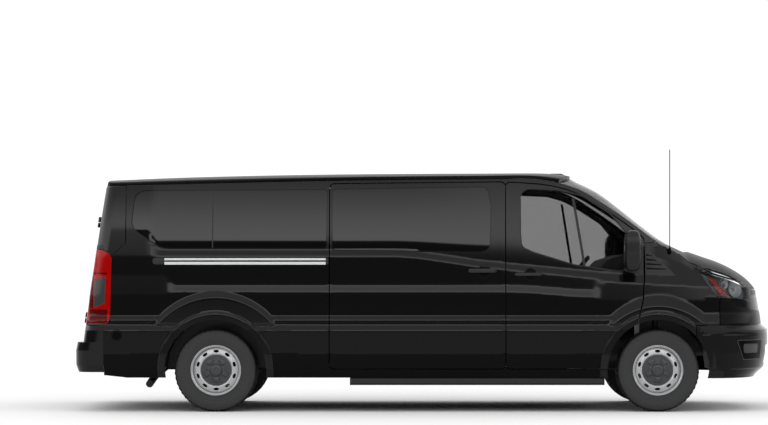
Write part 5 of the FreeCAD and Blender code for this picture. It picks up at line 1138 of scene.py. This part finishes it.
def mirror(side, left):
    """Head with a groove round it, glass sunk in its frame, arm and sail of a door mirror."""
    door = f"front_door_{side}"
    rings = rounded_block((MIRROR_X, MIRROR_Y, MIRROR_Z), (69.3, 85.8, 173), 3.5, 40, 56)
    groove = int(np.argmin([abs(ring[0, 2] - MIRROR_GROOVE_Z) for ring in rings]))
    level = rings[groove].mean(0)
    rings[groove] = level + (rings[groove] - level) * [0.94, 0.95, 1]
    head = skinned(f"mirror_head_{side}", rings, door, MOULDING, left=left, sharp=60)
    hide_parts(f"mirror_{side}")
    glass = [mirror_ring(x, (50.5, 102.5), scale) for x, scale in ((1684, 1.0), (1671, 1.0), (1670, 0.98))]
    skinned(f"mirror_glass_{side}", glass, door, MIRROR_GLASS, left=left)
    outer, lip, inner = (54, 106), (51, 103), (50, 102)
    rim = [mirror_ring(x, half) for half, x in (
        (outer, 1686), (outer, 1667.8), (lip, 1667.4), (inner, 1670), (inner, 1686))]
    skinned(f"mirror_frame_{side}", rim, door, MOULDING, closed=True, left=left)
    arm = swept([(1779, y, 1262) for y in (-1085, -1060, -1020, -990, -955)], squircle(18, 34, 3.5, 28))
    skinned(f"mirror_arm_{side}", arm, door, PLASTIC, left=left)
    sail = rounded([(1675, 1196, 12), (1818, 1428, 8), (SAIL_FRONT, 1404, 6), (SAIL_FRONT, 1153, 6)])
    panel(f"mirror_sail_{side}", side_point, sail, proud=9, thick=8, grid=(20, 20), body=door,
          slot="black_plastic", mats=PLASTIC, left=left, roll=3)


def pillar_trim(side, left):
    """Slotted corner trim at the windscreen's foot, over a dark base."""
    rear = FENDER_REAR + 1
    trim = rounded([(rear, 1404, 6), (2130, 1146, 10), (rear, 1158, 6)])
    start = FENDER_REAR + 12
    slots = []
    for z, reach in ((1322, 62), (1284, 96), (1246, 138), (1208, 176)):
        end = FENDER_REAR + reach
        slots.append(rounded([(start, z), (start, z + 14), (end, z + 3), (end, z - 3)], 2))
    # the base is a near-black sheet under the trim: painted shade seen through the slots
    panel(f"pillar_trim_base_{side}", front_point, grown(trim, -6), proud=4, thick=3, grid=(20, 20),
          slot="black_plastic", mats=DISH, left=left, roll=0)
    panel(f"pillar_trim_{side}", front_point, trim, slots, proud=8, thick=9, grid=(20, 20),
          slot="black_plastic", mats=PLASTIC, left=left, roll=4)


def pull_handle(name, x0, x1, z, height, body, left=False):
    """A bar that stands 24 off the side and runs into it at both ends."""
    xs = np.linspace(x0, x1, 25)
    from_end = np.minimum(xs - x0, x1 - xs)
    lift = 24 * np.clip(from_end / 38, 0, 1) ** 0.6
    path = [(x, surface_y(x, z) - 2 - out, z) for x, out in zip(xs, lift)]
    scales = np.clip(from_end / 10 + 0.55, 0, 1)
    bar = swept(path, squircle(9, height / 2, 3, 24), scales)
    skinned(name, bar, body, PLASTIC, left=left)


def handle_dish(name, place, body="body", left=False):
    """Shaded bottom of the dish behind a handle."""
    panel(name, side_point, circle(*place, DISH_RADIUS, 7), proud=0.6, thick=3, grid=(12, 12), mats=DISH,
          body=body, left=left, roll=1)


HINGE_LEAN = (math.sin(REAR_LEAN), 0, math.cos(REAR_LEAN))
HINGE_RADIUS, HINGE_OUT, HINGE_Y = 13.5, 20, -790


def door_fittings(side, left):
    """Front door handle with its dish, seal under the door, and the rear door's hinge in two parts."""
    pull_handle(f"front_door_handle_{side}", 751.8, 983.2, 1165, 29, f"front_door_{side}", left)
    handle_dish(f"front_door_dish_{side}", FRONT_DISH, f"front_door_{side}", left)
    panel(f"door_seal_{side}", side_point, box2(FRONT - 620, FRONT - 428, 346, 384), proud=-9, thick=8,
          grid=(20, 12), slot="black_plastic", mats=MOULDING, left=left, roll=0)
    for name, z0, long, body in (("foot", 1567, 38.5, "body"), ("arm", 1612, 44.5, f"rear_door_{side}")):
        rows = [(0, 0), (11, 0), (HINGE_RADIUS, 3), (HINGE_RADIUS, long - 3), (11, long), (0, long)]
        turned(f"rear_hinge_{name}_{side}", rows, (rear_face(z0) - HINGE_OUT, HINGE_Y, z0), body,
               PLASTIC, HINGE_LEAN, 40, left=left)


for side, left in SIDES:
    mirror(side, left)
    pillar_trim(side, left)
pull_handle("sliding_door_handle", 359.8, 598, 1196, 36, "body")
handle_dish("sliding_door_dish", SLIDE_DISH)
for side, left in SIDES:
    door_fittings(side, left)

# door track: two bright lips with a groove between, as (z, distance out), and black ends
TRACK_SECTION = [(1247.6, -4), (1247.6, 7), (1250, 8.9), (1269, 8.9), (1271.5, 7), (1272, 0), (1284, 0),
                 (1284.5, 7), (1287, 8.9), (1299.5, 8.9), (1302.4, 7), (1302.4, -4)]
TRACK_REAR, TRACK_FRONT, TRACK_MIDDLE_Z = -2216, -850, 1277
track_rings = [[(x, surface_y(REAR, z) - out, z) for z, out in TRACK_SECTION]
               for x in np.linspace(TRACK_REAR, TRACK_FRONT, 30)]
track = skinned("door_rail", track_rings, "body", TRACK_METAL, sharp=20)
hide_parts("door_track")
for name, x, half in (("rail_end_rear", TRACK_REAR - 50, 52), ("rail_end_front", TRACK_FRONT + 12, 12)):
    place = (x, surface_y(x, TRACK_MIDDLE_Z) - 1, TRACK_MIDDLE_Z)
    skinned(name, rounded_block(place, (half, 12, 30), 3.2), "body", PLASTIC)


def side_trim(side, left):
    """The front door's flange, window bar and cowl seal, the rear side window's bar, the bumper's cover."""
    # the flange runs behind the shut line, from the door's rear edge up the gutter and down to the fender
    low_rail = [(DOOR_FRONT - 16, 1420), (DOOR_FRONT - 16, 1452)]
    low_rail += gutter_points(DOOR_LINE - 8, FRONT - 165, 30, 58)[::-1]
    top_rail = gutter_points(DOOR_LINE - 8, FRONT - 140, 30, 12)
    top_rail += [(DOOR_FRONT + 16, 1480), (DOOR_FRONT + 16, 1420)]
    panel(f"door_flange_{side}", side_point, np.array(top_rail + low_rail), proud=-54, thick=4, grid=(40, 12),
          slot="black_plastic", mats=MOULDING, left=left, roll=0)
    bar = np.array([(1239, 1812), (1261, 1812), (1355, 1240), (1333, 1240)], float)
    panel(f"window_bar_{side}", side_point, bar, proud=2.4, thick=6, grid=(20, 15), body=f"front_door_{side}",
          slot="black_plastic", mats=PLASTIC, left=left, roll=0)
    cowl = np.array([(1838, 1400), (1965, 1400), (1965, 1424), (1925, 1448), (1838, 1454)], float)
    panel(f"cowl_seal_{side}", side_point, cowl, proud=-9, thick=4, grid=(20, 12), slot="black_plastic",
          mats=MOULDING, left=left, roll=0)
    division = box2(-1815, -1805, WINDOW_LOW + 17, WINDOW_TOP - 30)
    panel(f"window_division_{side}", side_point, division, proud=5.3, thick=5, slot="black_plastic",
          mats=PLASTIC, left=left, roll=0)
    rows = [(0, -3), (47, -3), (47, 0.6), (44.5, 3.6), (42, 3.2), (40, 0.6), (38, 0.6), (35, 3.8), (0, 4.6)]
    turned(f"bumper_cover_{side}", rows, (-2616, -1027, 653), "body", DISH, sides=64,
           left=left)


for side, left in SIDES:
    side_trim(side, left)

# lamps

# bowls of the headlamps: place seen from the side, radius and the way they look
BOWLS = ((2640, 1046, 74, (0.62, -0.78, 0.1)), (2540, 1088, 46, (0.55, -0.83, 0.1)))
BOWL_DEPTH = 44


def headlamp(side, left):
    """What lies under a headlamp's cover: walls, housing, two bowls, a bright strip and the marker."""
    if not left:
        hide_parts("headlamps")
    ribbon(f"headlamp_wall_{side}", front_point, grown(headlamp_s, -2), 0.5, -46, 3, "body",
           PLASTIC, left)
    panel(f"headlamp_housing_{side}", front_point, grown(headlamp_s, -3), proud=-42, thick=4, grid=(20, 15),
          slot="black_plastic", mats=LAMP_HOUSING, left=left, roll=0)
    for number, (x, z, radius, axis) in enumerate(BOWLS):
        here = front_point(np.array([s_at(x, z)]), np.array([float(z)]))[0]
        origin = here - np.array(axis) / np.linalg.norm(axis) * BOWL_DEPTH
        rows = [(0, 0), (radius * 0.3, 1.2), (radius * 0.6, 6), (radius * 0.85, 15), (radius, 25),
                (radius + 2, 25.5), (radius + 3, 24), (radius * 0.86, 12), (radius * 0.6, 2),
                (radius * 0.3, -3), (0, -4)]
        turned(f"headlamp_bowl_{number}_{side}", rows, origin, "body", BOWL_CHROME,
               axis, 64, left=left, sharp=60)
    strip = np.array([(2352, 1206), (2430, 1196), (2560, 1152), (2690, 1096), (2680, 1080), (2550, 1128),
                      (2440, 1162)], float)
    panel(f"headlamp_strip_{side}", front_point, round_nose(dense(strip, 12)), proud=-10, thick=5,
          grid=(20, 15), slot="headlamp_plastic", mats=CHROME, left=left, roll=0)
    marker = np.array([(2396, 1142), (2435, 1140), (2576, 984), (2492, 990)], float)
    panel(f"headlamp_marker_{side}", front_point, round_nose(dense(marker, 12)), proud=-14, thick=6,
          grid=(20, 15), slot="tail_lamp_plastic", mats=MARKER_LENS, left=left, roll=0)


def tail_lamp(side, left):
    """The pale insert, smoked bands and black cap laid on a rear lamp."""
    insert = round_rear(rounded([(-2713, 1154, 8), (-2719, 922, 8), (-2808, 880, 8), (-2811, 1111, 8)]))
    panel(f"tail_lamp_insert_{side}", side_point, insert, proud=6.6, thick=4, grid=(20, 20),
          slot="tail_lamp_plastic", mats=PALE_LENS, left=left, roll=1)
    bands = ((-2846, -2699, 1166, 1180), (-2846, -2699, 756, 868), (-2850, -2818, 880, 1150))
    for number, band in enumerate(bands):
        panel(f"tail_lamp_band_{number}_{side}", side_point, round_rear(box2(*band)), proud=6.4, thick=4,
              grid=(20, 20), slot="tail_lamp_plastic", mats=SMOKE_LENS, left=left, roll=0)
    cap = round_rear(rounded([(-2830, 1376, 6), (-2712, 1376, 20), (-2742, 1414, 20), (-2830, 1414, 6)]))
    panel(f"tail_lamp_cap_{side}", side_point, cap, proud=4.5, thick=5, grid=(20, 20), slot="black_plastic",
          mats=PLASTIC, left=left)


def fog_lamp(side, left):
    """Bezel with raised edges round a fog lamp, and its lens."""
    bezel = rounded([(2632, 610, 12), (2872, 610, 12), (2852, 444, 14), (2690, 440, 14)])
    bezel = round_nose(dense(bezel, 12))
    lens = rounded([(2694, 572, 14), (2836, 572, 14), (2828, 503, 14), (2702, 501, 14)])
    lens = round_nose(dense(lens, 10))
    # the bezel is near black, painted shade in its recess, and its raised edges are a lighter grey plastic
    # that stands in for their highlight: painted highlight
    panel(f"fog_bezel_{side}", front_point, bezel, [lens], proud=2.6, thick=3, grid=(25, 12),
          slot="black_plastic", mats=DISH, left=left, roll=1.5)
    ribbon(f"fog_edge_{side}", front_point, bezel, 4.2, -2, 5, "body", CAP_PLASTIC, left)
    ribbon(f"fog_rim_{side}", front_point, grown(lens, 4), 4.2, -2, 4, "body", CAP_PLASTIC,
           left)
    panel(f"fog_lens_{side}", front_point, grown(lens, -1), proud=1.4, thick=3, grid=(25, 12),
          slot="headlamp_plastic", mats=FOG_LENS, left=left, roll=0.8)


for side, left in SIDES:
    headlamp(side, left)
    tail_lamp(side, left)
    fog_lamp(side, left)

# seats: crowned cushions and backs with sewn channels, head restraints and plinths

# from a seat's front edge to its back, and the heights of the middles of cushion, back and head restraint
SEAT_DEPTH = 480
CUSHION_Z, BACK_Z, HEAD_Z = 868, 1205, 1668
BACK_LEAN = math.atan(0.27)


def soft_crown(across, wide, up):
    """Crown of a cushion and two sewn channels along it."""
    top = np.clip(up, 0, 1)
    crown = 9 * (1 - across ** 2) * (1 - wide ** 2) * top
    channels = sum(np.exp(-((wide - place) / 0.035) ** 2) for place in (-0.5, 0.5))
    return crown - 6 * channels * top * (np.abs(across) < 0.93)


def seat_place(label, front_x, y, half):
    """One place: cushion, back and head restraint on two stems; gives back the cushion."""
    back_x = front_x - SEAT_DEPTH
    cushion_rings = rounded_block((front_x - 245, y, CUSHION_Z), (238, half - 3, 58), 5, 26, 60, 0.03,
                                  soft_crown)
    cushion = skinned(f"{label}_cushion", cushion_rings, "body", CLOTH, sharp=70)
    back_rings = rounded_block((back_x - 128, y, BACK_Z), (48, half - 3, 350), 5, 40, 60, BACK_LEAN)
    back = skinned(f"{label}_back", back_rings, "body", CLOTH, sharp=70)
    head_rings = rounded_block((back_x - 203, y, HEAD_Z), (40, 118, 70), 3.4, 24, 44, 0.1)
    head = skinned(f"{label}_head", head_rings, "body", CLOTH, sharp=70)
    for number, off in enumerate((-45, 45)):
        place = (back_x - 197, y + off, 1550)
        turned(f"{label}_stem_{number}", [(0, 0), (6, 0), (6, 70), (0, 70)], place, "body",
               CHROME, (-0.1, 0, 1), 16)
    return cushion


def plinth(label, front_x, y0, y1):
    """Painted steel box under a seat or bench."""
    back_x = front_x - SEAT_DEPTH
    outline = squircle((front_x - back_x - 130) / 2, (y1 - y0) / 2 - 50, 9, 48)
    outline = outline + [(front_x + back_x - 50) / 2, (y0 + y1) / 2]
    rings = [[(x, y, z) for x, y in outline] for z in (641, 650, 790, 806)]
    skinned(f"{label}_plinth", rings, "body", CHASSIS)


FRONT_SEAT_X, FRONT_SEAT_HALF = FRONT - 617, 240
front_seats = (("front_seat_right", -480), ("front_seat_left", 480))
cushions = [seat_place(label, FRONT_SEAT_X, y, FRONT_SEAT_HALF) for label, y in front_seats]
for label, y in front_seats:
    plinth(label, FRONT_SEAT_X, y - FRONT_SEAT_HALF, y + FRONT_SEAT_HALF)
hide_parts("front_seats")
# each bench with its front edge and its two ends
BENCH_RIGHT, BENCH_LEFT, REAR_BENCH_HALF = -430, 864, 612.0
BENCHES = (("middle_bench", FRONT - 1540, BENCH_RIGHT, BENCH_LEFT),
           ("second_bench", FRONT - 2390, BENCH_RIGHT, BENCH_LEFT),
           ("rear_bench", REAR + 510, -REAR_BENCH_HALF, REAR_BENCH_HALF))
for label, front_x, y0, y1 in BENCHES:
    wide = (y1 - y0) / 3
    places = [seat_place(f"{label}_{i}", front_x, y0 + wide * (i + 0.5), wide / 2) for i in range(3)]
    if label == "middle_bench":
        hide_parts("benches")
    plinth(label, front_x, y0, y1)

# black band along the edges of the windscreen, inside the glass

# X of the windscreen's top and foot, at its sides and its centre, and how far its edges lie inside the skin
TOP_SIDE, TOP_CENTRE = FRONT - 834, FRONT - 695
FOOT_SIDE, FOOT_CENTRE = FRONT - 11, FRONT + 206
SCREEN_INSET = 50.3
screen_line = curve_through([(FRONT - 695, ROOF - 42), (FRONT - 426, ROOF - 185), (FRONT - 204, ROOF - 358),
                             (FRONT + 50, ROOF - 556), (FRONT + 206, ROOF - 650)])


def screen_point(share, y, depth=0.0):
    """Point of the windscreen's outer face, on the arc at a share of the way down it."""
    side_x = TOP_SIDE + 3 + (FOOT_SIDE - TOP_SIDE - 3) * share
    centre_x = TOP_CENTRE + 3 + (FOOT_CENTRE - TOP_CENTRE - 3) * share
    side_z, centre_z = float(gutter(side_x)), float(screen_line(centre_x))
    heights, widths = side_levels(np.array([side_x]))
    half = float(along(np.array([side_z]), heights, widths, BOWED)[0]) - SCREEN_INSET
    ahead = np.array([centre_x - side_x, 0, centre_z - side_z])
    sagitta = np.linalg.norm(ahead)
    ahead /= sagitta
    radius = (half ** 2 + sagitta ** 2) / (2 * sagitta)
    rise = math.sqrt(max(radius ** 2 - (y * half) ** 2, 0)) - (radius - sagitta)
    return np.array([side_x, y * half, side_z]) + ahead * (rise - depth)


# section of the band, as shares of the half width and depths under the outer face
BAND_SECTION = ((0.996, 8), (0.96, 8), (0.925, 8), (0.925, 10), (0.96, 10), (0.996, 10))
band_rings = [[screen_point(share, -y, depth) for y, depth in BAND_SECTION]
              for share in np.linspace(0.02, 0.985, 30)]
for side, left in SIDES:
    skinned(f"windscreen_band_{side}", band_rings, "body", BAND_BLACK, left=left)

# studio: a pale floor, a plain world and the camera of the photograph

bpy.ops.mesh.primitive_plane_add(size=80)
floor = bpy.context.object
floor.name = "studio_floor"
floor.data.materials.append(material("pale_floor", "#fbfbfb", 0.9, ior=1.3, Specular_IOR_Level=0.0))

# strengths of the world: below the bright edge on the camera's side, at that edge and overhead there, and all
# round behind the vehicle, where it stands before plain white
DARK_SIDE, GLOW, OVERHEAD, WHITE_SIDE = 0.12, 3.4, 1.15, 1.12


def studio_world():
    """A white world, dark towards the camera below about 9 degrees, so that the sides reflect that edge."""
    world = bpy.data.worlds.new("studio_light")
    scene.world = world
    world.use_nodes = True
    tree = world.node_tree
    background = tree.nodes["Background"]
    background.inputs["Color"].default_value = rgb("#ffffff")
    where = node(tree, "ShaderNodeTexCoord")
    axes = node(tree, "ShaderNodeSeparateXYZ", Vector=where.outputs["Generated"])
    edge = node(tree, "ShaderNodeMapRange", _interpolation_type="LINEAR", Value=axes.outputs["Z"],
                From_Min=0.148, From_Max=0.153)
    fade = node(tree, "ShaderNodeMapRange", _interpolation_type="SMOOTHSTEP", Value=axes.outputs["Z"],
                From_Min=0.15, From_Max=0.5, To_Min=GLOW, To_Max=OVERHEAD)
    above = node(tree, "ShaderNodeMath", _operation="MULTIPLY", i0=edge.outputs[0], i1=fade.outputs[0])
    ahead = node(tree, "ShaderNodeMath", _operation="MAXIMUM", i0=above.outputs[0], i1=DARK_SIDE)
    behind = node(tree, "ShaderNodeMapRange", _interpolation_type="SMOOTHSTEP", Value=axes.outputs["Y"],
                  From_Min=0.25, From_Max=0.75)
    around = node(tree, "ShaderNodeMix", _data_type="FLOAT", Factor=behind.outputs[0], A=ahead.outputs[0],
                  B=WHITE_SIDE)
    # rays that aren't seen, reflected or looked through find little light near the ground
    path = node(tree, "ShaderNodeLightPath")
    seen = node(tree, "ShaderNodeMath", _operation="MAXIMUM", i0=path.outputs["Is Camera Ray"],
                i1=path.outputs["Is Glossy Ray"])
    seen = node(tree, "ShaderNodeMath", _operation="MAXIMUM", i0=seen.outputs[0],
                i1=path.outputs["Is Transmission Ray"])
    high = node(tree, "ShaderNodeMapRange", _interpolation_type="SMOOTHSTEP", Value=axes.outputs["Z"],
                From_Min=0.1, From_Max=0.5, To_Min=0.06, To_Max=1.0)
    lit = node(tree, "ShaderNodeMath", _operation="MAXIMUM", i0=seen.outputs[0], i1=high.outputs[0])
    strength = node(tree, "ShaderNodeMath", _operation="MULTIPLY", i0=around.outputs[0], i1=lit.outputs[0])
    tree.links.new(strength.outputs[0], background.inputs["Strength"])


def photo_camera():
    """The photograph's camera: level, at eye height, square to the right-hand side."""
    camera = bpy.data.cameras.new("photo_camera")
    camera.lens, camera.sensor_width = 119.6, 36
    camera.shift_x, camera.shift_y = -0.0547, 0.084
    camera.clip_end = 200
    eye = bpy.data.objects.new("photo_camera", camera)
    eye.location = (0, -22.6, 1.143)
    eye.rotation_euler = (math.radians(90), 0, 0)
    scene.collection.objects.link(eye)
    scene.camera = eye


studio_world()
scene.view_settings.view_transform = "Standard"
photo_camera()
